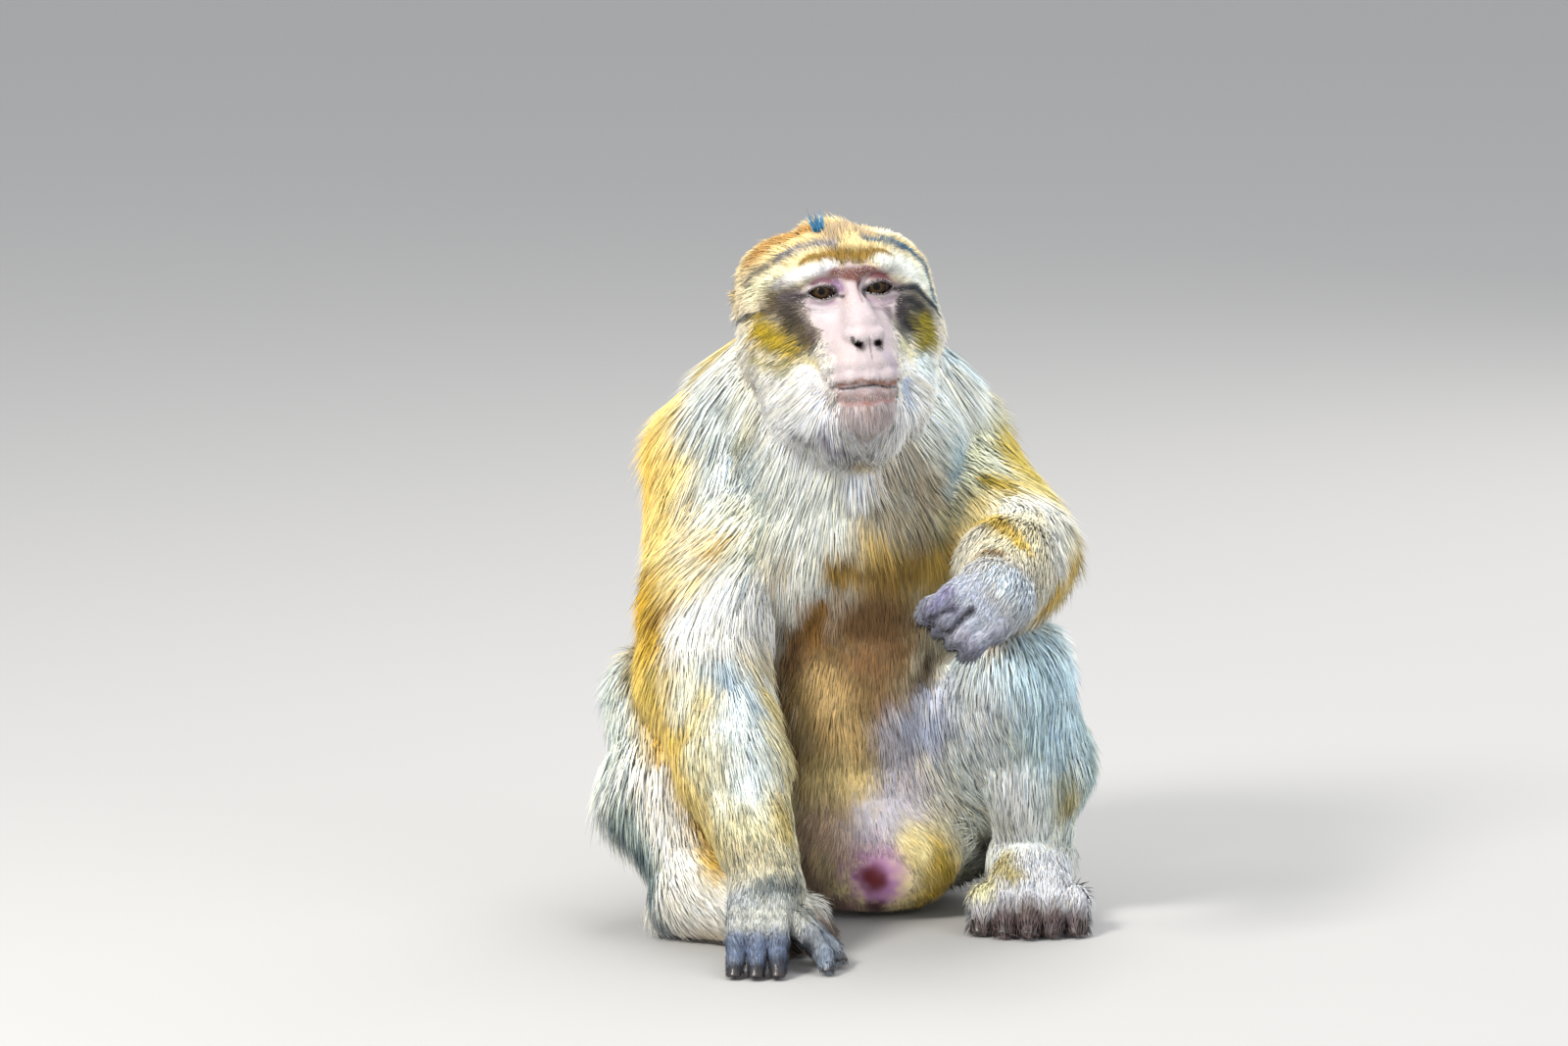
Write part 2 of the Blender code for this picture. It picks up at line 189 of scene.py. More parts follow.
def nearest_centre(points: Array, cell: float, seed: int) -> Array:
    """The nearest of a set of scattered centres, one at a hashed place in each cell of a lattice.

    Args:
        points: N x 3 places.
        cell: the width of a cell.
        seed: chooses the centres.

    Returns:
        N x 3 places of the centres.
    """
    base = np.floor(points / cell).astype(np.int64)
    best = np.full(len(points), np.inf)
    found = np.zeros_like(points)
    for shift in np.ndindex(3, 3, 3):
        place = base + np.array(shift) - 1
        jitter = [lattice_hash(place, seed + i) for i in range(3)]
        centre = (place + np.stack(jitter, axis=1)) * cell
        gap = ((points - centre) ** 2).sum(axis=1)
        nearer = gap < best
        best[nearer] = gap[nearer]
        found[nearer] = centre[nearer]
    return found


# ---- forms that the skin is made of
@dataclass(frozen=True)
class RoundCone:
    """The hull of two balls, a limb that tapers."""

    start: Array
    end: Array
    start_radius: float
    end_radius: float

    def box(self) -> tuple[Array, Array]:
        """The form's lowest and highest corners."""
        low = np.minimum(self.start - self.start_radius, self.end - self.end_radius)
        high = np.maximum(self.start + self.start_radius, self.end + self.end_radius)
        return low, high

    def distance(self, points: Array) -> Array:
        """The distance to the axis less the radius there, which runs evenly from end to end.

        Args:
            points: N x 3 places.

        Returns:
            N distances, below zero inside.
        """
        axis = self.end - self.start
        along = np.clip((points - self.start) @ axis / (axis @ axis), 0.0, 1.0)
        nearest = self.start + along[:, None] * axis
        radius = self.start_radius + along * (self.end_radius - self.start_radius)
        return np.linalg.norm(points - nearest, axis=1) - radius


@dataclass(frozen=True)
class Egg:
    """An ellipsoid, with its own axes as the columns of a matrix."""

    centre: Array
    radii: Array
    axes: Array

    def box(self) -> tuple[Array, Array]:
        """The form's lowest and highest corners."""
        reach = np.sqrt(((self.axes * self.radii) ** 2).sum(axis=1))
        return self.centre - reach, self.centre + reach

    def distance(self, points: Array) -> Array:
        """k0 (k0 - 1) / k1, where k0 is |p / r| and k1 is |p / r^2|: close to the true distance.

        Args:
            points: N x 3 places.

        Returns:
            N distances, below zero inside.
        """
        local = (points - self.centre) @ self.axes
        k0 = np.linalg.norm(local / self.radii, axis=1)
        k1 = np.linalg.norm(local / self.radii**2, axis=1)
        return k0 * (k0 - 1.0) / np.maximum(k1, 1e-9)


@dataclass(frozen=True)
class Almond:
    """The opening between two lids: what two crossing rods have in common.

    The rods run along the line of sight. Their radius is (a^2 + b^2) / 2b for a half width a
    and a half height b, and each is shifted up or down by that radius less b.
    """

    centre: Array
    half_width: float
    half_height: float
    depth: float
    axes: Array

    def box(self) -> tuple[Array, Array]:
        """The form's lowest and highest corners."""
        reach = np.abs(self.axes) @ np.array([self.half_width, self.depth, self.half_height])
        return self.centre - reach, self.centre + reach

    def distance(self, points: Array) -> Array:
        """The greatest of the distances to the two rods and to the two ends.

        Args:
            points: N x 3 places.

        Returns:
            N distances, below zero inside.
        """
        local = (points - self.centre) @ self.axes
        radius = (self.half_width**2 + self.half_height**2) / (2.0 * self.half_height)
        shift = radius - self.half_height
        upper = np.hypot(local[:, 0], local[:, 2] - shift) - radius
        lower = np.hypot(local[:, 0], local[:, 2] + shift) - radius
        return np.maximum(np.maximum(upper, lower), np.abs(local[:, 1]) - self.depth)


Form = RoundCone | Egg | Almond


class Join(Enum):
    """How a form meets what is there already."""

    ADD = "add"
    CARVE = "carve"


@dataclass(frozen=True)
class Placed:
    """A form, the part that it belongs to, and how it joins."""

    part: str
    form: Form
    blend: float
    join: Join = Join.ADD


# The field's value where no form is near, and how far past a form's box it is still asked.
FAR = 0.02
POINT_MARGIN = 0.004
GRID_MARGIN = 0.006
# The least squared slope that a point is drawn along.
LEAST_SLOPE = 0.25


@dataclass(frozen=True)
class Field:
    """The smooth field of all the forms, in the order in which they join: below zero inside."""

    placed: list[Placed]

    @staticmethod
    def joined(values: Array, item: Placed, points: Array) -> Array:
        """Joins one form to the field.

        Args:
            values: the field at the points so far.
            item: the form and how it joins.
            points: N x 3 places.

        Returns:
            The field after it has joined.
        """
        gap = item.form.distance(points)
        if item.join is Join.ADD:
            return smooth_min(values, gap, item.blend)
        return -smooth_min(-values, gap, item.blend)

    def at(self, points: Array) -> Array:
        """The field at scattered points. Each form is asked only near its own box.

        Args:
            points: N x 3 places.

        Returns:
            N values.
        """
        values = np.full(len(points), FAR)
        for item in self.placed:
            low, high = item.form.box()
            margin = item.blend + POINT_MARGIN
            near = ((points > low - margin) & (points < high + margin)).all(axis=1)
            if near.any():
                values[near] = self.joined(values[near], item, points[near])
        return np.maximum(values, FLOOR_CLEARANCE - points[:, 2])

    def on_grid(self, lines: tuple[Array, Array, Array]) -> Array:
        """The field on a grid.

        Args:
            lines: the grid's lines along X, Y and Z.

        Returns:
            A value for each crossing, as a three-dimensional array.
        """
        values = np.full([len(line) for line in lines], FAR)
        for item in self.placed:
            low, high = item.form.box()
            margin = item.blend + GRID_MARGIN
            cut = tuple(
                slice(np.searchsorted(line, low[i] - margin), np.searchsorted(line, high[i] + margin))
                for i, line in enumerate(lines)
            )
            block = values[cut]
            if block.size == 0:
                continue
            mesh = np.meshgrid(*[line[part] for line, part in zip(lines, cut)], indexing="ij")
            points = np.stack([m.ravel() for m in mesh], axis=1)
            values[cut] = self.joined(block.ravel(), item, points).reshape(block.shape)
        return np.maximum(values, (FLOOR_CLEARANCE - lines[2])[None, None, :])

    def gradient(self, points: Array, step: float = 0.0003) -> Array:
        """The slope of the field by central differences along each axis.

        Args:
            points: N x 3 places.
            step: how far off each difference looks.

        Returns:
            N x 3 slopes.
        """
        slope = np.empty_like(points)
        for axis in range(3):
            shift = np.zeros(3)
            shift[axis] = step
            slope[:, axis] = (self.at(points + shift) - self.at(points - shift)) / (2.0 * step)
        return slope

    def drawn(self, points: Array, rounds: int, furthest: float) -> Array:
        """Draws points to the zero surface by the field's value over its slope.

        Args:
            points: N x 3 places near the surface.
            rounds: how many times they are moved.
            furthest: the longest move along an axis in one round.

        Returns:
            The places on the surface.
        """
        for _ in range(rounds):
            slope = self.gradient(points)
            steep = np.maximum((slope**2).sum(axis=1, keepdims=True), LEAST_SLOPE)
            step = self.at(points)[:, None] * slope / steep
            points = points - np.clip(step, -furthest, furthest)
        return points


# ---- the body's own sizes
@dataclass(frozen=True)
class Head:
    """The head's place and the forms of its bare flesh, in millimetres of its own axes.

    opening is half the width and half the height of the gap between the lids. nose_lean is how
    far the tip of the nose stands to the animal's left.
    """

    origin: Array
    turn: Triple = (-9.0, -3.0, 14.0)
    eye_gap: float = 38.5
    eye_radius: float = 9.8
    lid: float = 1.9
    opening: tuple[float, float] = (9.6, 4.1)
    nose_lean: float = 0.9

    @property
    def axes(self) -> Array:
        """The head's axes as the columns of a matrix."""
        return turn_matrix(self.turn)

    def place(self, *point: float) -> Array:
        """World place of a point of the head."""
        return self.origin + self.axes @ np.array(point) * MM

    def world(self, points: Array) -> Array:
        """World places of points of the head."""
        return self.origin + points @ self.axes.T * MM

    def local(self, points: Array) -> Array:
        """Head places, in millimetres, of world points."""
        return (points - self.origin) @ self.axes / MM

    def cone(self, a: Triple, b: Triple, ra: float, rb: float, blend: float,
             join: Join = Join.ADD) -> Placed:
        """A round cone of the head: its ends, its radii there and its blend."""
        form = RoundCone(self.place(*a), self.place(*b), ra * MM, rb * MM)
        return Placed("head", form, blend * MM, join)

    def egg(self, centre: Triple, radii: Triple, blend: float, turn: Triple = (0, 0, 0),
            join: Join = Join.ADD, part: str = "head") -> Placed:
        """An ellipsoid of the head: its centre, its radii, its blend and how it is turned."""
        form = Egg(self.place(*centre), np.array(radii) * MM, self.axes @ turn_matrix(turn))
        return Placed(part, form, blend * MM, join)

    def forms(self) -> list[Placed]:
        """All the forms of the head, in joining order."""
        return self.skull() + self.muzzle() + self.openings() + self.lids_and_ear(-1) + self.lids_and_ear(1)

    def skull(self) -> list[Placed]:
        """Builds the cranium, the jaw, the cheeks and the brow.

        Returns:
            Their forms.
        """
        made = [
            self.egg((0, 47, 1), (59, 56, 40), 6),
            self.egg((0, 14, 19), (42, 23, 17), 10),
            self.egg((0, 72, -24), (46, 36, 36), 12),
            self.egg((0, 18, -22), (37, 25, 40), 10),
            self.egg((0, 26, -50), (46, 42, 42), 14),
            self.egg((0, 10, -80), (31, 29, 27), 14),
        ]
        for s in (-1, 1):
            made += [
                self.egg((s * 33, 44, 6), (29, 41, 29), 8),
                self.egg((s * 38, 30, -18), (26, 35, 36), 12, (0, -s * 8, 0)),
                self.egg((s * 31, 17, -52), (21, 28, 31), 12),
                self.cone((s * 14, 2, -15), (s * 33, 12, -15), 9.5, 9, 9),
                self.cone((s * 15, 4, -20), (s * 14, -10, -38), 10, 12, 12),
                self.cone((0, -4, 11), (s * 22, -5.5, 12.5), 5.8, 7.0, 6),
                self.cone((s * 22, -5.5, 12.5), (s * 38, 8, 6), 7.0, 6.0, 6),
            ]
        return made

    def muzzle(self) -> list[Placed]:
        """Builds the muzzle, the bridge and wings of the nose, the chin and the two lips.

        Returns:
            Their forms.
        """
        made = [
            self.cone((0, 0, -34), (0, -15, -50), 25, 24, 10),
            self.egg((0, -16, -41), (19, 21, 17), 10),
            self.egg((0, -22, -53), (23.5, 20.5, 12.5), 7),
            self.cone((0, -2, 4), (0, -28, -26), 6.4, 11.5, 8),
            self.cone((0, 0, -72), (0, -13, -78), 24, 20.5, 9),
            self.egg((0, -19, -77), (19, 16.5, 15), 7),
            self.egg((0, -36.5, -33), (7.5, 6.0, 5.2), 5),
        ]
        for s in (-1, 1):
            made += [
                self.cone((s * 5.6 + 0.6, -37.5, -34), (s * 10.4 + 0.6, -33.5, -31.5), 3.6, 3.0, 4),
                self.cone((0, -38.0, -61.4), (s * 12, -36, -61.2), 4.4, 4.2, 5),
                self.cone((s * 12, -36, -61.2), (s * 21, -27.5, -61.0), 4.2, 3.4, 5),
                self.cone((0, -33.5, -69.5), (s * 11, -31.5, -69.3), 3.6, 3.4, 5),
                self.cone((s * 11, -31.5, -69.3), (s * 19, -24.5, -69), 3.4, 3.0, 5),
            ]
        return made

    def openings(self) -> list[Placed]:
        """Carves the line of the mouth, the nostrils and the groove under the nose.

        Returns:
            The carved forms.
        """
        made = []
        lean = self.nose_lean
        for s in (-1, 1):
            mouth = (
                (0, -43.0, -65.4), (s * 12, -40.6, -65.2), (s * 20.5, -32.0, -64.6), (s * 24.5, -25.5, -65.8),
            )
            made += [self.cone(a, b, 1.5, 1.3, 2.2, Join.CARVE) for a, b in zip(mouth, mouth[1:])]
            hole = (s * 6.2 + lean, -46, -39.4), (s * 6.6 + lean, -35, -36.6)
            slit = (s * 7.4 + lean, -46.0, -37.8), (s * 12.4 + lean, -40.4, -34.0)
            made.append(self.cone(*hole, 2.9, 2.6, 1.4, Join.CARVE))
            made.append(self.cone(*slit, 2.5, 1.5, 1.4, Join.CARVE))
        made.append(self.cone((lean, -46.2, -38), (lean, -44.6, -57), 1.5, 1.0, 2.5, Join.CARVE))
        return made

    def lids_and_ear(self, s: int) -> list[Placed]:
        """Builds one eye's socket, lids and the folds round them, and the ear of that side.

        Args:
            s: 1 for the animal's left, -1 for its right.

        Returns:
            Their forms.
        """
        x = s * self.eye_gap / 2
        shell = self.eye_radius + self.lid
        half_width, half_height = self.opening
        tilt = self.axes @ turn_matrix((0, -s * 6.0, 0))
        opening = Almond(self.place(x + s * 0.3, -14, -1.5), half_width * MM, half_height * MM, 14 * MM, tilt)
        made = [
            self.egg((x, -13, -1), (13.5, 9.5, 9.5), 6, join=Join.CARVE),
            self.egg((x, 0, -0.5), (shell, shell, shell), 3),
            Placed("head", opening, 0.8 * MM, Join.CARVE),
        ]
        folds = (
            (((x - s * 10, -9.4, 3.8), (x - s * 1, -11.2, 7.4), (x + s * 10, -7.0, 4.6)), 0.9),
            (((x - s * 9, -11.0, -7.0), (x, -10.6, -9.8), (x + s * 9, -6.6, -8.6)), 0.7),
            (((x - s * 8, -11.6, -11.5), (x + s * 1, -9.6, -14.0), (x + s * 9, -5.4, -12.4)), 0.6),
        )
        for line, radius in folds:
            made += [self.cone(a, b, radius, radius, 1.8, Join.CARVE) for a, b in zip(line, line[1:])]
        turn = (0, s * 10, s * 28)
        made.append(self.egg((s * 60, 57, -8), (4.2, 10, 14), 3, turn, part="ear"))
        made.append(self.egg((s * 66, 53, -7), (5.0, 6.5, 9.5), 1.5, turn, Join.CARVE, "ear"))
        return made


Point = Array


def at(x: float, y: float, z: float) -> Point:
    """A world place."""
    return np.array([x, y, z])


def joint(left: Triple, right: Triple) -> dict[str, Point]:
    """A dataclass field for a joint's place on each side, under "left" and "right"."""
    return field(default_factory=lambda: {"left": at(*left), "right": at(*right)})


@dataclass(frozen=True)
class Limbs:
    """Joint centres, the same as the solids' own."""

    hip: dict[str, Point] = joint((0.052, 0.034, 0.078), (-0.056, 0.036, 0.078))
    knee: dict[str, Point] = joint((0.106, -0.076, 0.182), (-0.140, -0.042, 0.156))
    ankle: dict[str, Point] = joint((0.118, -0.014, 0.038), (-0.114, -0.110, 0.036))
    toes: dict[str, Point] = joint((0.114, -0.110, 0.012), (-0.036, -0.158, 0.012))
    shoulder: dict[str, Point] = joint((0.050, 0.040, 0.312), (-0.094, 0.004, 0.316))
    elbow: dict[str, Point] = joint((0.108, -0.064, 0.262), (-0.110, -0.080, 0.182))
    wrist: dict[str, Point] = joint((0.088, -0.206, 0.254), (-0.063, -0.174, 0.050))


def egg(centre: Triple, radii: Triple, turn: Triple = (0, 0, 0)) -> Egg:
    """An ellipsoid given in metres in the world's axes."""
    return Egg(np.array(centre), np.array(radii), turn_matrix(turn))


def trunk_forms() -> list[Placed]:
    """Builds rump, belly, chest, mantle and throat, inside the solids by the depth of the coat.

    Returns:
        Their forms.
    """
    made = [
        (egg((-0.002, 0.027, 0.074), (0.079, 0.088, 0.073)), 0.010),
        (egg((0.008, -0.026, 0.046), (0.058, 0.048, 0.044)), 0.012),
        (egg((-0.004, 0.026, 0.152), (0.079, 0.090, 0.086), (8, 0, 0)), 0.020),
        (egg((-0.010, 0.030, 0.235), (0.091, 0.090, 0.086), (8, 0, 0)), 0.030),
        (egg((-0.018, 0.034, 0.292), (0.101, 0.077, 0.076)), 0.030),
        (egg((-0.018, 0.009, 0.351), (0.084, 0.067, 0.056), (-20, 0, 0)), 0.030),
        (egg((-0.008, -0.042, 0.290), (0.060, 0.039, 0.070)), 0.030),
        (egg((-0.010, -0.045, 0.345), (0.059, 0.042, 0.046)), 0.025),
        (RoundCone(at(-0.016, 0.0, 0.37), at(-0.011, -0.05, 0.415), 0.052, 0.046), 0.020),
    ]
    return [Placed("trunk", form, blend) for form, blend in made]


def chain(part: str, points: list[Point], radii: list[float], blend: float) -> list[Placed]:
    """Round cones of a part, from point to point, with a radius at each."""
    return [
        Placed(part, RoundCone(a, b, ra, rb), blend)
        for a, b, ra, rb in zip(points, points[1:], radii, radii[1:])
    ]


@dataclass(frozen=True)
class Digit:
    """A finger or toe: the places of its knuckles and tip, and the radii there."""

    part: str
    points: list[Point]
    radii: list[float]

    def forms(self) -> list[Placed]:
        """The digit's phalanges."""
        return chain(self.part, self.points, self.radii, 0.0025)


def right_hand(limbs: Limbs) -> tuple[list[Placed], list[Digit]]:
    """The hand on the floor: three fingers point forward, index and thumb inward.

    Args:
        limbs: gives the wrist.

    Returns:
        The hand's forms, and its digits for the nails.
    """
    wrist = limbs.wrist["right"]
    forms, digits = [], []
    for x, reach in ((-0.021, 0.0), (-0.0085, 0.003), (0.004, 0.002)):
        knuckle = at(-0.062 + x, -0.212, 0.034)
        forms += chain("hand_right", [wrist + at(x * 0.45, 0, 0), knuckle], [0.017, 0.0085], 0.008)
        tip = at(-0.062 + x * 1.15, -0.243 - reach, 0.0062)
        middle = knuckle * 0.45 + tip * 0.55 + at(0, -0.003, 0.005)
        digits.append(Digit("hand_right", [knuckle, middle, tip], [0.0075, 0.0068, 0.0055]))
    index = [
        at(-0.048, -0.204, 0.030), at(-0.036, -0.216, 0.024),
        at(-0.027, -0.226, 0.013), at(-0.025, -0.232, 0.0062),
    ]
    digits.append(Digit("hand_right", index, [0.0080, 0.0070, 0.0062, 0.0052]))
    thumb = [
        at(-0.046, -0.186, 0.030), at(-0.034, -0.194, 0.020),
        at(-0.022, -0.202, 0.012), at(-0.018, -0.208, 0.0070),
    ]
    digits.append(Digit("hand_right", thumb, [0.0090, 0.0075, 0.0065, 0.0055]))
    return forms + [f for d in digits for f in d.forms()], digits


def left_hand(limbs: Limbs) -> tuple[list[Placed], list[Digit]]:
    """The hand that hangs half closed over the knee.

    Args:
        limbs: gives the wrist.

    Returns:
        The hand's forms, and its digits for the nails.
    """
    wrist = limbs.wrist["left"]
    forms, digits = [], []
    for i, x in enumerate((-0.018, -0.006, 0.006, 0.018)):
        knuckle = at(0.073, -0.240, 0.248) + at(x * 0.75, 0, -x * 0.60)
        forms += chain("hand_left", [wrist + at(x * 0.4, 0, -x * 0.3), knuckle], [0.016, 0.0088], 0.008)
        middle = knuckle + at(-0.014, -0.009, -0.006 - 0.001 * i)
        tip = middle + at(-0.004, 0.016, -0.009)
        digits.append(Digit("hand_left", [knuckle, middle, tip], [0.0078, 0.0070, 0.0058]))
    bends = (at(-0.014, -0.012, 0.0), at(-0.030, -0.028, -0.004), at(-0.036, -0.040, -0.013))
    thumb = [wrist + bend for bend in bends]
    digits.append(Digit("hand_left", thumb, [0.0090, 0.0072, 0.0058]))
    return forms + [f for d in digits for f in d.forms()], digits


def foot(limbs: Limbs, side: str) -> tuple[list[Placed], list[Digit]]:
    """A flat foot: heel, instep and five toes that curl to the floor.

    Args:
        limbs: gives the ankle and the toes.
        side: "left" or "right".

    Returns:
        The foot's forms, and its toes for the nails.
    """
    ankle, toes = limbs.ankle[side], limbs.toes[side]
    part = f"foot_{side}"
    ahead = unit((toes - ankle) * at(1, 1, 0))
    outward = at(-ahead[1], ahead[0], 0) * (1 if side == "left" else -1)
    heel = ankle - ahead * 0.014 - at(0, 0, 0.017)
    ball = toes - ahead * 0.028 + at(0, 0, 0.007)
    forms = chain(part, [heel, ball], [0.019, 0.016], 0.010)
    for across in (-0.013, 0.013):
        forms += chain(part, [ankle, ball + outward * across + at(0, 0, 0.007)], [0.023, 0.0145], 0.012)
    digits = []
    toe_gap = 0.0145
    for i, length in enumerate((0.74, 0.97, 1.0, 0.92, 0.80)):
        across = (i - 2) * toe_gap
        base = ball + outward * across + at(0, 0, 0.004)
        reach = (0.030 - 0.003 * abs(i - 2)) * length
        tip = base + ahead * reach + outward * across * 0.12 - at(0, 0, 0.0155)
        middle = base * 0.5 + tip * 0.5 + at(0, 0, 0.007)
        digits.append(Digit(part, [base, middle, tip], [0.0095, 0.0088, 0.0074]))
    return forms + [f for d in digits for f in d.forms()], digits


# ---- the skin
# The grid's steps over the face, the right hand and foot, the left ones, and elsewhere.
FACE_STEP = 0.0009
RIGHT_STEP = 0.0021
LEFT_STEP = RIGHT_STEP * 1.15
BODY_STEP = 0.0042
# How far under the floor the grid starts.
UNDER_FLOOR = 0.004


@dataclass(frozen=True)
class Band:
    """A stretch of an axis where the grid's lines lie closer."""

    low: float
    high: float
    step: float


def graded_axis(low: float, high: float, bands: list[Band]) -> Array:
    """Grid lines from low to high, a body's step apart outside the bands.

    Args:
        low: the place of the first line.
        high: where they end.
        bands: the stretches with closer lines.

    Returns:
        The lines' places.
    """
    lines = [low]
    while lines[-1] < high:
        inside = [b.step for b in bands if b.low <= lines[-1] < b.high]
        lines.append(lines[-1] + min([BODY_STEP, *inside]))
    return np.array(lines)


def surface_net(values: Array, lines: tuple[Array, Array, Array]) -> tuple[Array, Array]:
    """The zero surface of a gridded field: one vertex in each cell it crosses, a quad at each edge.

    A vertex is the mean of the places where the cell's twelve edges cross zero. Every grid edge
    that crosses zero joins the vertices of the four cells around it.

    Args:
        values: the field on the grid.
        lines: the grid's lines along X, Y and Z.

    Returns:
        Vertices (N x 3) and quads (M x 4), whose faces look outwards.
    """
    inside = values < 0.0
    shape = np.array(values.shape) - 1
    count = np.zeros(shape, np.int8)
    for corner in np.ndindex(2, 2, 2):
        cut = tuple(slice(c, c + n) for c, n in zip(corner, shape))
        count += inside[cut]
    cells = np.argwhere((count > 0) & (count < 8))
    number = np.full(shape, -1, np.int64)
    number[tuple(cells.T)] = np.arange(len(cells))
    total = np.zeros((len(cells), 3))
    hits = np.zeros(len(cells))
    for axis in range(3):
        others = [a for a in range(3) if a != axis]
        for first, second in np.ndindex(2, 2):
            start = cells.copy()
            start[:, others[0]] += first
            start[:, others[1]] += second
            end = start.copy()
            end[:, axis] += 1
            a, b = values[tuple(start.T)], values[tuple(end.T)]
            crossed = (a < 0) != (b < 0)
            share = np.where(crossed, a / np.where(crossed, a - b, 1.0), 0.0)
            place = np.stack([lines[i][start[:, i]] for i in range(3)], axis=1)
            place[:, axis] += share * (lines[axis][end[:, axis]] - lines[axis][start[:, axis]])
            total += place * crossed[:, None]
            hits += crossed
    vertices = total / hits[:, None]
    quads = []
    for axis in range(3):
        second, third = (axis + 1) % 3, (axis + 2) % 3
        low = [slice(None)] * 3
        high = [slice(None)] * 3
        low[axis], high[axis] = slice(0, -1), slice(1, None)
        a, b = inside[tuple(low)], inside[tuple(high)]
        edges = np.argwhere(a != b)
        edges = edges[(edges[:, second] > 0) & (edges[:, third] > 0)]
        outward = a[tuple(edges.T)]
        corners = []
        for step_second, step_third in ((1, 1), (0, 1), (0, 0), (1, 0)):
            cell = edges.copy()
            cell[:, second] -= step_second
            cell[:, third] -= step_third
            corners.append(number[tuple(cell.T)])
        quad = np.stack(corners, axis=1)
        quad[~outward] = quad[~outward][:, ::-1]
        quads.append(quad)
    return vertices, np.concatenate(quads)


@dataclass
class Skin:
    """One closed skin: its mesh, and its outward directions."""

    field: Field
    vertices: Array
    quads: Array
    normals: Array

    @classmethod
    def grown(cls, placed: list[Placed], head: Head) -> "Skin":
        """Samples the field, finds its zero surface and draws each vertex on to it.

        Args:
            placed: all the forms, in joining order.
            head: gives the face's place.

        Returns:
            The skin.
        """
        made = Field(placed)
        boxes = [item.form.box() for item in placed if item.join is Join.ADD]
        low = np.min([lowest for lowest, _ in boxes], axis=0) - GRID_MARGIN
        high = np.max([highest for _, highest in boxes], axis=0) + GRID_MARGIN
        low[2] = -UNDER_FLOOR
        x, y, z = head.origin
        # Closer lines run over the face, then over the hands and feet of the right and the left.
        lines = (
            graded_axis(low[0], high[0], [
                Band(x - 0.042, x + 0.052, FACE_STEP),
                Band(-0.095, -0.008, RIGHT_STEP), Band(0.040, 0.155, LEFT_STEP)]),
            graded_axis(low[1], high[1], [
                Band(y - 0.054, y + 0.012, FACE_STEP), Band(-0.260, -0.190, RIGHT_STEP)]),
            graded_axis(low[2], high[2], [
                Band(z - 0.104, z + 0.024, FACE_STEP),
                Band(-0.004, 0.048, RIGHT_STEP), Band(0.205, 0.262, LEFT_STEP)]),
        )
        LOG.info("grid %s", [len(line) for line in lines])
        vertices, quads = surface_net(made.on_grid(lines), lines)
        vertices = made.drawn(vertices, 2, 0.002)
        return cls(made, vertices, quads, unit(made.gradient(vertices)))


# ---- meshes
def new_object(name: str, data: bpy.types.ID) -> bpy.types.Object:
    """Puts a new object into the scene.

    Args:
        name: its name.
        data: its mesh, light or camera.

    Returns:
        The object.
    """
    made = bpy.data.objects.new(name, data)
    bpy.context.scene.collection.objects.link(made)
    return made


def mesh_object(name: str, vertices: Array, faces: list[Array]) -> bpy.types.Object:
    """A new object with its place in its mesh.

    Args:
        name: the object's name.
        vertices: N x 3 places.
        faces: arrays of vertex numbers, each with as many columns as its faces have corners.

    Returns:
        The linked object.
    """
    mesh = bpy.data.meshes.new(name)
    corners = np.concatenate([f.ravel() for f in faces]).astype(np.int32)
    sizes = np.concatenate([np.full(len(f), f.shape[1]) for f in faces])
    starts = np.concatenate([[0], np.cumsum(sizes)[:-1]]).astype(np.int32)
    mesh.vertices.add(len(vertices))
    mesh.vertices.foreach_set("co", np.ascontiguousarray(vertices, np.float32).ravel())
    mesh.loops.add(len(corners))
    mesh.loops.foreach_set("vertex_index", corners)
    mesh.polygons.add(len(starts))
    mesh.polygons.foreach_set("loop_start", starts)
    mesh.update(calc_edges=True)
    mesh.validate()
    mesh.shade_smooth()
    return new_object(name, mesh)


def paint(obj: bpy.types.Object, colours: Array) -> None:
    """Stores a linear colour for each vertex, as the piece's markings."""
    rgba = np.concatenate([colours, np.ones((len(colours), 1))], axis=1).astype(np.float32)
    obj.data.color_attributes.new(PAINT, "FLOAT_COLOR", "POINT").data.foreach_set("color", rgba.ravel())


def colour(code: str) -> Array:
    """A display colour, six hex digits such as "D9A860", as linear light."""
    part = np.array([int(code[i : i + 2], 16) for i in (0, 2, 4)]) / 255.0
    return np.where(part <= 0.04045, part / 12.92, ((part + 0.055) / 1.055) ** 2.4)


# ---- markings
@dataclass(frozen=True)
class Mark:
    """A soft marking along a line of places on the skin, in millimetres.

    It fades out over a band either side of its radius; softness widens the band. ticking is the
    share of the tufts there that are dark.
    """

    line: tuple[Triple, ...]
    radius: float
    tint: str
    # The share of dark tufts: dark guard hairs, and painted shade between locks.
    ticks_and_shade: float = 0.0
    strength: float = 1.0
    softness: float = 0.5


# The fields of a mark in order; what is left out at the end has its usual value.
MarkRow = tuple[tuple[Triple, ...], float, str, *tuple[float, ...]]

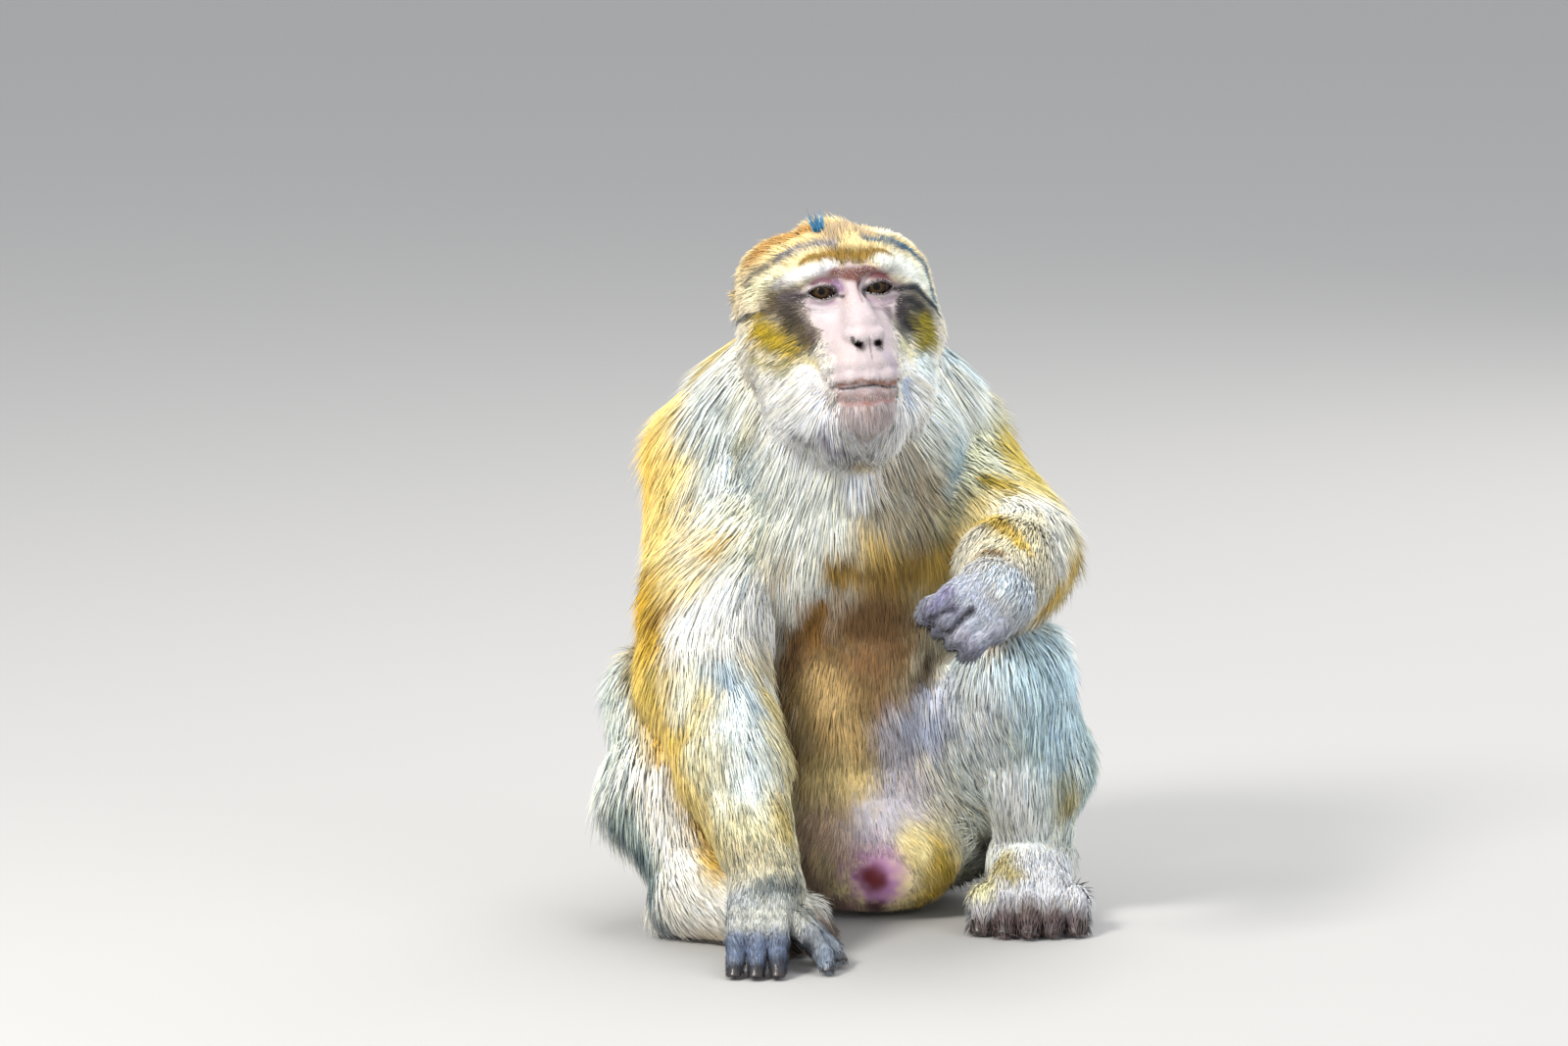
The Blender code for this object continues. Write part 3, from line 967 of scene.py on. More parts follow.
HEAD_MARKS: tuple[MarkRow, ...] = (
    # The crown: gold on the right, buff on top, cream on the left, gold behind the temple.
    (((-50, 34, 27), (-32, 38, 36), (-16, 40, 39)), 12, "AE8444", 0.12),
    (((-6, 8, 35), (12, 36, 39), (16, 12, 36)), 9, "B09874", 0.06),
    (((30, 28, 35), (48, 46, 32), (50, 32, 28)), 7, "EEE2C4", 0.05),
    (((-54, 64, 20), (-65, 54, 4)), 6, "C0A055", 0.25, 0.9),
    # The pale temples.
    (((-60, 20, 2), (-49, 6, 9), (-34, -4, 13)), 7, "E6DFB8", 0.06),
    (((24, -11, 20), (45, 4, 12), (57, 11, -3), (61, 14, -17)), 8, "DFE2D2", 0.08),
    # The olive brow, darkest in the middle, over a white bar above each eye.
    (((-29, -4, 20), (-20, -8, 22), (-10, -8, 23), (4, -9, 22), (19, -7, 23), (27, -6, 21)),
     5, "84641C", 0.3),
    (((-3, -10, 18), (9, -10, 18)), 3.3, "7E6414", 0.25, 0.9),
    (((-12, -11, 16), (-25, -13, 14), (-36, -3, 11), (-47, 3, 5)), 3.7, "F4F2F0", 0, 1, 0.4),
    (((25, -13, 14), (40, -1, 9), (48, 2, -1)), 4, "EEF0E8", 0.05, 0.8),
    # The slate stripes over the brow, and the blue edge of the crown on the left.
    (((-9, -2, 31), (-19, 2, 31), (-30, 5, 29), (-42, 10, 24)), 3.7, "585E78", 0.5, 0.8, 0.9),
    (((-42, 10, 24), (-53, 17, 17), (-61, 27, 9)), 3.3, "6A655C", 0.5, 0.75, 0.9),
    (((15, 1, 33), (27, 2, 31), (40, 6, 28), (47, 12, 25)), 3.4, "50687A", 0.4, 1, 0.6),
    (((31, 8, 37), (43, 12, 30), (52, 16, 18), (57, 17, 4), (58, 16, -12)), 3.6, "215670", 0.1, 1, 0.6),
    # The dark stripe from each eye to the ear.
    (((-62, 51, 10), (-63, 58, -5), (-63, 52, -17)), 2.4, "3A4652", 0.1, 0.9),
    (((-30, -5, -3), (-42, -3, -4), (-54, 4, -11), (-63, 24, -13), (-62, 55, -14)),
     2.4, "2A3540", 0, 1, 0.4),
    (((31, -4, -2), (44, -1, -3), (54, 3, -13), (61, 14, -20), (60, 12, -25)), 2.8, "1C2836", 0, 1, 0.4),
    # The dusky patches round the outer corners of the eyes, and painted shade beside the right side of the
    # nose.
    (((-47, 0, -5), (-42, -5, -15), (-34, -7, -29)), 12.7, "5E4C2C", 0.55, 1, 0.6),
    (((-34, -4, -3), (-42, -3, -8), (-39, -5, -18)), 6, "2C201C", 0.3, 1, 0.7),
    (((-37, -3, -1), (-45, -1, -2)), 3.3, "3A2E30", 0, 0.9),
    # Painted shade beside the right side of the nose.
    (((-33, -8, -28), (-31, -10, -32)), 4, "4E4040", 0.2, 0.85),
    (((31, -5, -9), (35, -6, -24)), 7.3, "382C2C", 0.2),
    (((41, -4, -11), (49, -2, -20), (39, -6, -30)), 9.3, "202022", 0.32, 1, 0.7),
    # The yellow cheeks with dark ticks, and the buff and grey below them.
    (((-60, 12, -22), (-51, 0, -28), (-44, -5, -36)), 9.3, "BEA020", 0.46, 1, 0.4),
    (((-59, 18, -39), (-53, 7, -45), (-47, -2, -49)), 4.7, "AA9C40", 0.4, 0.7, 0.6),
    (((-36, -10, -45), (-30, -13, -49)), 4.7, "CBBE90", 0.15, 0.9),
    (((-42, -5, -21), (-37, -8, -34)), 6, "44381E", 0.35, 1, 0.7),
    (((49, -1, -26), (50, 1, -38), (45, -4, -43)), 7.3, "A8962A", 0.4, 1, 0.4),
    (((31, -10, -30), (36, -10, -40)), 3, "5A5A4C", 0.3, 0.8),
    (((31, -13, -41), (38, -10, -48)), 4, "C9C49A", 0.15, 0.8),
    # The white ruff, faintly blue on the left, with a bluer painted shade beside the mouth.
    (((-64, 35, -26), (-58, 60, -40), (-47, 76, -58)), 9, "E9E6D4", 0.04),
    (((-42, 62, -65), (-37, 48, -86), (-29, 42, -100)), 13, "F1F3F5", 0, 1, 0.4),
    (((-35, -11, -57), (-29, -8, -74)), 6, "ECEAEA", 0.06),
    (((46, -4, -55), (58, 45, -74), (50, 34, -94)), 9, "E3EDEC", 0.05, 1, 0.4),
    # Painted shade: blue on the left of the ruff beside the mouth.
    (((33, -9, -68), (31, -1, -82)), 4.3, "B7C5DA", 0.04, 0.9),
    # The beard: white below, buff in the middle, grey at the sides of the chin.
    (((-17, 38, -115), (7, 32, -120), (24, 30, -113)), 8, "EFEDE6"),
    (((-2, 12, -107), (16, 26, -106)), 5.3, "E6CD9C", 0.04),
    (((-22, -4, -94), (-13, -2, -102)), 6, "8E8698", 0.3, 0.9),
    (((35, 28, -91), (32, 28, -96)), 4, "626A84", 0.1, 0.9),
    # The blue root of the topknot.
    (((13, 57, 41), (13, 51, 40)), 3.3, "2A6284", 0, 1, 0.4),
)

FACE_MARKS: tuple[MarkRow, ...] = (
    # The red-brown forehead.
    (((-13, -9, 8), (-11, -12, 12), (2, -12, 10), (15, -11, 10), (26, -7, 6)), 4.7, "A2705A", 0, 0.9),
    (((-11, -12, 13), (-2, -12, 10), (8, -12, 11), (15, -12, 12)), 3.1, "7C3A28"),
    (((-2, -12, 9), (5, -12, 5)), 3, "8A4A3A", 0, 0.9),
    # The shade down the left side of the nose.
    (((6, -10, 4), (2, -18, -3), (2, -26, -9)), 1.6, "6A4038", 0, 0.9),
    # The eyelids: rose and lilac on the right, rose on the left.
    (((-26, -7, 6), (-20, -9, 8), (-12, -8, 5)), 2, "C98C9A", 0, 0.9),
    (((-10, -8, 5), (-7, -8, 1)), 3.1, "C49AC6", 0, 0.95),
    (((16, -10, 9), (23, -8, 7), (32, -4, 3)), 2.8, "A2606A", 0, 0.85),
    (((18, -10, 5), (24, -10, 3)), 1.7, "7A4450", 0, 0.8),
    # The pale bridge of the nose.
    (((0, -14, 2), (0, -24, -7), (0, -37, -19), (0, -42, -30)), 2.8, "EED9DA", 0, 0.9, 0.6),
    (((-5, -13, -4), (-7, -26, -12)), 2.4, "EBCFC4", 0, 0.6),
    # The dark lines at the corners of the eyes.
    (((-42, -2, -1), (-36, -4, -2), (-29, -6, -2)), 2, "2C1C1E", 0, 0.95),
    (((28, -7, -2), (36, -4, -3), (44, -1, -2)), 1.7, "2E1C18", 0, 0.95),
    (((-9, -7, -4), (-6, -12, -5)), 1.3, "3A2430", 0, 0.9),
    (((9, -7, -2), (9, -8, -6)), 1.7, "3A2220", 0, 0.85),
    # The pink below the eyes.
    (((-28, -6, -7), (-21, -8, -9), (-12, -8, -9)), 2, "E4C2D4", 0, 0.8),
    (((12, -8, -9), (19, -8, -11), (28, -5, -9)), 2.4, "D9BCCB", 0, 0.85),
    (((11, -17, -14), (23, -10, -15)), 1.7, "B59CA4", 0, 0.6),
    # A brown fleck and a mole on the right cheek.
    (((-31, -6, -12), (-30, -6, -14)), 2, "B08072", 0, 0.7),
    (((-37, -5, -9), (-37, -5, -10)), 0.9, "5A3C38", 0, 0.8),
    # Where the face darkens toward the coat.
    (((-42, -4, -10), (-38, -5, -19)), 4.7, "A8949A", 0, 0.7),
    (((-30, -8, -26), (-27, -14, -31)), 3.1, "B8A49C", 0, 0.7),
    (((24, -10, -17), (27, -11, -25)), 3.8, "857478", 0, 0.85),
    (((35, -5, -10), (36, -6, -18)), 4.7, "5A4C50", 0, 0.8),
    # The white of the cheek and of the upper lip, with a lilac painted shade on the left of the muzzle.
    (((-24, -8, -14), (-16, -15, -17)), 6.3, "F8EDF1", 0, 0.8, 0.6),
    # Painted shade: lilac on the left side of the muzzle.
    (((14, -38, -47), (19, -35, -55)), 4.7, "E2D2E2", 0, 0.7),
    (((-17, -31, -39), (-13, -39, -49)), 7.1, "F7E2DE", 0, 0.7, 0.6),
    # The nostrils, red at the outer edge and near black inside, which is painted shade in the holes, and the
    # line between them.
    (((-10, -38, -34), (-4, -33, -36)), 0.7, "84303A", 0, 0.7, 0.7),
    # Painted shade inside the nostrils.
    (((-5, -33, -37), (-4, -39, -40)), 3, "2A060C"),
    (((10, -36, -38), (9, -38, -41)), 2.8, "2E080E"),
    (((1.3, -42.6, -34), (1.9, -40, -41), (1.9, -42, -48)), 0.6, "9E909C", 0, 0.9, 0.4),
    # Deeper painted shade inside the nostrils.
    (((-9.6, -39, -34.4), (-4.5, -33, -37.3)), 1.9, "16040A", 0, 1, 0),
    (((9.2, -34, -38), (8.9, -35, -39)), 2.4, "16040A", 0, 1, 0),
    # The lips: a tan edge and the dark line of the mouth.
    (((-21, -19, -64), (-16, -38, -63), (-6, -42, -63), (6, -40, -64), (21, -26, -66), (28, -10, -68)),
     2.3, "B0745A", 0, 0.95),
    (((-21, -19, -65), (-18, -32, -67), (-13, -37, -67), (-5, -39, -66), (2, -40, -66),
      (11, -37, -68), (21, -28, -69)), 0.9, "2E1E2C", 0, 1, 0.4),
    (((-22, -25, -67), (-21, -28, -69)), 1.7, "B0687E", 0, 0.8),
    # The chin, rosy above and grey toward the beard.
    (((-21, -25, -73), (-5, -36, -74), (17, -29, -76)), 4.6, "CB958C", 0, 0.9),
    (((-3, -36, -81), (2, -33, -87)), 5.4, "BC7868", 0, 0.85),
    (((-15, -29, -82), (-10, -29, -89)), 4.6, "BE968E", 0, 0.8),
    (((10, -33, -83), (16, -22, -90)), 3.8, "B08A86", 0, 0.8),
    (((1, -22, -97), (4, -21, -97)), 3.1, "80592E", 0, 0.9),
    (((-23, -7, -89), (-15, -9, -97), (-7, -13, -100)), 5.4, "8C8294", 0, 0.85),
    (((18, -9, -94), (26, 10, -96)), 3.8, "6E6874", 0, 0.8),
    (((28, 3, -90), (34, 20, -92)), 2.8, "5E6480", 0, 0.9),
)

BODY_MARKS: tuple[MarkRow, ...] = (
    # The grizzled olive back and the flanks.
    (((-14, 100, 400), (-12, 135, 300), (-8, 140, 200), (0, 125, 110), (0, 110, 50)),
     92, "BBA470", 0.35, 0.95, 0.6),
    (((105, 10, 130), (70, 60, 90)), 42, "C6B88C", 0.35, 0.8, 0.6),
    (((-130, 20, 120), (-80, 60, 90)), 42, "C6B88C", 0.35, 0.8, 0.6),
    # The left shoulder, upper arm and the top of the forearm.
    (((75, 50, 320), (112, 15, 290), (122, -20, 272)), 32, "C6BA86", 0.28, 0.8, 0.6),
    (((118, -80, 268), (96, -170, 276)), 18, "D8CEA6", 0.3, 0.6, 0.6),
    (((75, 0, 345), (85, -10, 330), (90, -40, 313)), 12, "DDE0CC", 0.15, 0.95, 0.6),
    (((93, 15, 330), (104, -18, 314), (116, -40, 300)), 10, "C4B464", 0.28, 0.9, 0.6),
    # The gold outer side of the right shoulder and arm.
    (((-118, 40, 320), (-140, -20, 260), (-150, -60, 200)), 34, "C8A85A", 0.28, 0.8, 0.6),
    (((-135, -10, 330), (-140, -40, 268), (-144, -77, 210), (-127, -125, 150), (-100, -160, 97)),
     23, "D8B85E", 0.2, 0.95, 0.6),
    (((-90, -75, 264), (-73, -78, 224), (-93, -110, 202)), 27, "EDEDE8", 0.12, 0.9, 0.6),
    (((-129, -3, 343), (-135, -30, 300), (-139, -57, 252)), 17, "E4C678", 0.14),
    (((-136, -3, 329), (-139, -20, 296)), 9, "D8B050", 0.1),
    (((-129, -25, 321), (-123, -43, 304)), 9, "E2C272", 0.08),
    (((-110, -61, 288), (-99, -77, 261)), 11, "CFA648", 0.2),
    # The brown belly under a gold band.
    (((0, -71, 229), (-6, -63, 167), (-7, -57, 104)), 56, "7A6138", 0.08, 1, 0.6),
    (((-23, -79, 259), (14, -78, 266), (51, -52, 256)), 23, "C2A250", 0.08, 1, 0.6),
    # The mantle: blue-white, grizzled toward the neck.
    (((-100, -33, 344), (-82, -48, 320), (-95, -56, 299)), 22, "CFD6D2", 0.3),
    (((-70, -61, 345), (-79, -47, 333)), 7, "A9A88C", 0.3, 0.8),
    (((-95, -67, 280), (-73, -65, 268), (-88, -81, 247)), 16, "E3E1CA", 0.15),
    (((-70, -62, 282), (-59, -67, 301)), 9, "B5BBB0", 0.38, 0.9),
    (((-37, -79, 300), (-25, -78, 255), (-37, -63, 223)), 20, "E5E6DF", 0.2),
    (((-81, -74, 253), (-70, -66, 259)), 6, "A9AD98", 0.35, 0.8),
    # The right arm from the elbow's bend down to the wrist.
    (((-124, -106, 209), (-95, -94, 229), (-70, -75, 218)), 17, "ECECE6", 0.12),
    (((-143, -58, 236), (-143, -72, 217), (-141, -97, 200)), 14, "B8922A", 0.38),
    (((-139, -85, 215), (-128, -89, 228)), 6, "8A6414", 0.4, 0.8),
    (((-150, -43, 187), (-154, -71, 170)), 6.5, "6B5A2A", 0.4, 0.9),
    (((-69, -71, 210), (-60, -45, 192)), 9, "EFEDE6", 0.04),
    (((-143, -100, 171), (-142, -83, 150)), 12, "D0B35A", 0.28),
    (((-117, -122, 182), (-122, -126, 164)), 12, "E2DEC4", 0.12),
    (((-95, -121, 185), (-79, -132, 162)), 12, "B5C6CE", 0.38),
    (((-70, -104, 174), (-66, -90, 160)), 6.5, "E6E6D8", 0.06),
    (((-138, -86, 138), (-122, -110, 88), (-98, -132, 53)), 17, "CBA650", 0.32),
    (((-108, -153, 129), (-87, -173, 90)), 16, "D0C69C", 0.3),
    (((-76, -145, 149), (-66, -169, 100)), 12, "D3CDA8", 0.25),
    (((-62, -156, 115), (-52, -169, 82)), 8, "B8A260", 0.25, 0.9),
    (((-80, -184, 67), (-59, -189, 65)), 14, "A79D80", 0.35, 0.9),
    # The grey right hand with dark finger tips.
    (((-66, -202, 53), (-48, -193, 51)), 10, "5E6462", 0.4, 0.9),
    (((-80, -222, 36), (-52, -216, 39), (-38, -192, 33)), 13, "A2A298", 0.3, 0.9),
    (((-86, -241, 21), (-69, -245, 18), (-55, -244, 18)), 10, "5E6A80", 0.25, 0.95),
    (((-28, -202, 21), (-24, -235, 11)), 9, "747E8A", 0.25, 0.95),
    (((-86, -248, 6), (-62, -248, 7), (-37, -224, 16)), 5.3, "2C2E36", 0.1, 0.95),
    # The chest: white in the middle, grey-brown in the shade of the left arm.
    (((2, -85, 314), (-3, -89, 327)), 12, "E9ECF2", 0.05),
    (((-33, -79, 293), (-20, -79, 259)), 21, "DFE1D6", 0.24),
    (((29, -78, 319), (48, -61, 296)), 20, "9E9380", 0.3),
    (((10, -81, 286), (33, -72, 277)), 14.5, "9C917A", 0.25),
    (((66, -57, 289), (53, -57, 277)), 10.5, "B7B592", 0.3),
    (((56, -45, 332), (66, -43, 310)), 14.5, "BCD2DA", 0.32),
    # The front of the left shoulder.
    (((80, -18, 328), (81, -52, 304)), 10.5, "E2E2C0", 0.18),
    (((96, 39, 325), (104, -18, 314), (113, -30, 304)), 12, "B29C4A", 0.34, 1, 0.45),
    (((87, -54, 305), (103, -58, 301)), 6.6, "9C8630", 0.34),
    # The belly again: gold-brown above, buff below, and painted shade in the folds, darkest in the crease
    # against the left thigh.
    (((-14, -79, 256), (6, -78, 253), (29, -70, 252)), 14, "8F7030", 0.08),
    (((-28, -67, 226), (-36, -55, 201)), 12, "946C34", 0.08),
    (((4, -64, 215), (7, -59, 195)), 22, "82603A", 0.05),
    (((-45, -50, 194), (-49, -47, 178)), 10.5, "82603A", 0.05, 0.9),
    (((-31, -59, 151), (-16, -58, 122)), 21, "B79A66", 0.1),
    (((-55, -42, 148), (-54, -50, 112)), 10.5, "8C6A36", 0.15, 0.9),
    (((-23, -54, 100), (-2, -58, 97)), 18, "C6AF78", 0.12),
    (((19, -60, 151), (30, -52, 124)), 10.5, "7A5A34", 0.1, 0.8),
    (((-45, -48, 59), (-16, -65, 65)), 17.5, "B0967E", 0.05),
    # Painted shade in the crease between the belly and the left thigh.
    (((47, -40, 182), (36, -53, 150), (25, -53, 122)), 7, "46341E", 0.05, 0.8, 0.9),
    # The bluish inner side of the left thigh.
    (((30, -53, 132), (30, -52, 88), (12, -67, 69)), 20, "A8A2A6", 0.06),
    (((65, -71, 164), (44, -53, 132)), 16, "989EAE", 0.1),
    # The seat: a lilac bare patch round dark red, and brown fur below it.
    (((-38, -53, 34), (-32, -60, 28)), 14, "9E8470", 0.05, 0.9),
    (((8, -73, 36), (12, -70, 28)), 21, "94688C", 0, 1, 0.45),
    (((6, -73, 36), (8, -72, 32)), 8.4, "5A141C", 0, 1, 0.45),
    (((9, -55, 11), (10, -39, 4)), 7, "4A2028", 0, 0.9),
    (((-12, -52, 12), (-2, -40, 5)), 12, "8F6C72", 0, 0.85),
    (((49, -59, 50), (57, -44, 29), (45, -47, 18)), 14, "B99A3A", 0.15),
    (((36, -65, 60), (42, -64, 51)), 10.5, "DECC92", 0.04),
    # The left leg: pale blue, grizzled outside, cream at the ankle.
    (((86, -93, 161), (104, -79, 122)), 28, "DCE1E0", 0.22),
    (((124, -101, 191), (143, -66, 149)), 21, "CBDEE4", 0.3),
    (((114, -88, 138), (125, -69, 92)), 17.5, "D2DCD2", 0.26),
    (((147, -54, 141), (148, -36, 78)), 9, "94A6A4", 0.36, 0.95),
    (((134, -73, 114), (140, -55, 81)), 9, "948446", 0.35, 0.9),
    (((105, -55, 74), (94, -33, 55)), 16, "F2F4E4", 0.1),
    (((107, -74, 104), (102, -45, 60)), 19, "EEF4F2", 0.1, 0.95, 0.6),
    (((120, -105, 181), (134, -76, 128)), 21, "C2DEE8", 0.3, 0.85, 0.6),
    # The left foot and its dark toes.
    (((81, -60, 32), (81, -92, 31)), 10, "E0D9A8", 0.05),
    (((97, -63, 43), (104, -85, 40)), 10.5, "B5A66C", 0.2, 0.95),
    (((126, -72, 45), (141, -63, 35)), 17, "CCCED2", 0.08),
    (((96, -113, 13), (117, -118, 10), (142, -111, 13)), 7.7, "5C4C4C", 0.25, 0.95),
    # The left forearm, gold along its lower edge and above the wrist.
    (((103, -82, 293), (132, -70, 284), (130, -135, 268)), 14.5, "C8C6BA", 0.14),
    (((79, -83, 278), (95, -145, 288), (106, -168, 280)), 8, "AE923E", 0.4),
    (((82, -182, 278), (89, -192, 279)), 5.3, "6C502A", 0.4, 0.9),
    (((95, -223, 267), (108, -218, 255)), 13, "BCC4CA", 0.3),
    (((140, -71, 257), (126, -143, 244), (117, -149, 236)), 6.6, "B6922E", 0.35, 0.95),
    (((103, -91, 210), (92, -100, 198)), 6.6, "8A6C42", 0.15, 0.8, 0.6),
    # The left hand, and painted shade in the gaps between its fingers.
    (((70, -239, 265), (75, -249, 248)), 10.5, "A6AAB4", 0.3),
    (((55, -248, 263), (46, -257, 254)), 4.6, "6E6A84", 0.1, 0.95),
    (((60, -252, 251), (43, -235, 239)), 4.2, "6C667A", 0.1, 0.95),
    (((65, -256, 238), (56, -247, 233)), 5.3, "A2A0AA", 0.3, 0.95),
    # Painted shade between the fingers.
    (((54, -252, 237), (71, -249, 251)), 3.1, "24222C", 0, 1, 0.4),
    (((44, -255, 248), (59, -252, 252)), 2.5, "34323E", 0, 1, 0.4),
    # The right leg: pale outside, grey at the edge, cream along the shin.
    (((-169, -50, 167), (-169, -79, 115)), 14, "D6DED2", 0.26),
    (((-161, -95, 86), (-142, -114, 45)), 12.6, "AAB6AC", 0.42),
    (((-169, -78, 79), (-143, -110, 45), (-136, -117, 11)), 7, "4A5C62", 0.4, 0.95),
    (((-142, -104, 105), (-126, -122, 62), (-112, -138, 19)), 12.6, "F0EBDF", 0.06),
    (((-110, -121, 2), (-99, -135, 7)), 10, "DCCBB0", 0.05, 0.9),
    # Where the ruff and the mantle meet, and the white elbow's bend.
    (((-90, 7, 383), (-99, 1, 372)), 9, "B39C58", 0.4, 0.9),
    (((-77, -34, 377), (-60, -70, 355)), 13, "DCD6BE", 0.15, 0.9),
    (((50, -6, 385), (63, 8, 371)), 9, "C0D2D8", 0.32, 0.9),
    (((-85, -140, 157), (-77, -159, 123)), 19, "DFEAEA", 0.2, 0.85, 0.6),
)

# Each part's tint at its start and at its end, and the share of its tufts that are dark.
BODY_BASE: dict[str, tuple[str, str, float]] = {
    "head": ("CAB47E", "F6F7F5", 0.10),
    "ear": ("D8C498", "D8C498", 0.1),
    "trunk": ("E8F0EE", "D6C490", 0.20),
    "upper_arm_right": ("E0D2A0", "DCC488", 0.22),
    "upper_arm_left": ("DCE0CC", "D2B868", 0.22),
    "forearm_right": ("DCC88A", "B8AF8C", 0.28),
    "forearm_left": ("C4C0AE", "A29A86", 0.24),
    "hand_right": ("A8ACAC", "4E525C", 0.35),
    "hand_left": ("B4B8BE", "727280", 0.34),
    "thigh_right": ("D4D4BC", "DEE2D8", 0.28),
    "thigh_left": ("E0E2D4", "DCE8E8", 0.26),
    "lower_leg_right": ("E0E4DC", "E6E4D6", 0.26),
    "lower_leg_left": ("DCE8E4", "E2E4D4", 0.26),
    "foot_right": ("E4E0D4", "6C5A50", 0.10),
    "foot_left": ("CCCDD0", "5C4E4A", 0.10),
}

# What the tints of the bare face are multiplied by.
SKIN_TONE = 0.46
# A marking's reach in radii, and the least half width of the band over which it fades.
MARK_REACH = 2.2
LEAST_BAND = 0.25
# Where the bare face ends: half its width at each height, in millimetres of the head's axes.
FACE_HEIGHTS = (-101, -95, -87, -77, -62, -45, -35, -25, -15, -4, 3, 8, 13, 16, 18)
FACE_WIDTHS = (3, 9, 18, 22, 24.5, 24, 24.5, 27.5, 31.5, 34, 33, 28, 20, 11, 3)


@dataclass
class Laid:
    """A marking whose line has been laid on the skin as close points."""

    mark: Mark
    points: Array
    radius: float

    def share(self, points: Array, ragged: Array) -> Array:
        """How much of the marking each point takes.

        Args:
            points: N x 3 places.
            ragged: how far the marking's edge is shifted at each, in radii.

        Returns:
            N shares from 0 to 1.
        """
        reach = self.radius * MARK_REACH
        low, high = self.points.min(axis=0) - reach, self.points.max(axis=0) + reach
        near = ((points > low) & (points < high)).all(axis=1)
        found = np.zeros(len(points))
        if near.any():
            gap = np.full(int(near.sum()), np.inf)
            for spot in self.points:
                gap = np.minimum(gap, ((points[near] - spot) ** 2).sum(axis=1))
            gap = np.sqrt(gap) / self.radius + ragged[near]
            soft = min(1.0, LEAST_BAND + self.mark.softness)
            found[near] = self.mark.strength * (1.0 - smooth_step(1.0 - soft, 1.0 + soft, gap))
        return found


def lay(rows: tuple[MarkRow, ...], frame: Callable[[Array], Array], skin: Field) -> list[Laid]:
    """Lays marks on the skin.

    Each line is cut into steps of under half the radius, and every point is drawn to the skin.

    Args:
        rows: the marks, whose places are in millimetres.
        frame: takes those places to the world.
        skin: the field whose zero surface is the skin.

    Returns:
        The laid marks, in the same order.
    """
    marks = [Mark(*row) for row in rows]
    chains = []
    for mark in marks:
        corners = frame(np.array(mark.line, float))
        steps = [corners[:1]]
        for start, end in zip(corners, corners[1:]):
            count = max(1, math.ceil(np.linalg.norm(end - start) / (0.45 * mark.radius * MM)))
            steps.append(start + (end - start) * np.linspace(0, 1, count + 1)[1:, None])
        chains.append(np.concatenate(steps))
    points = np.concatenate(chains)
    points = skin.drawn(points, 4, 0.004)
    cuts = np.cumsum([len(chain) for chain in chains])[:-1]
    return [Laid(mark, spots, mark.radius * MM) for mark, spots in zip(marks, np.split(points, cuts))]


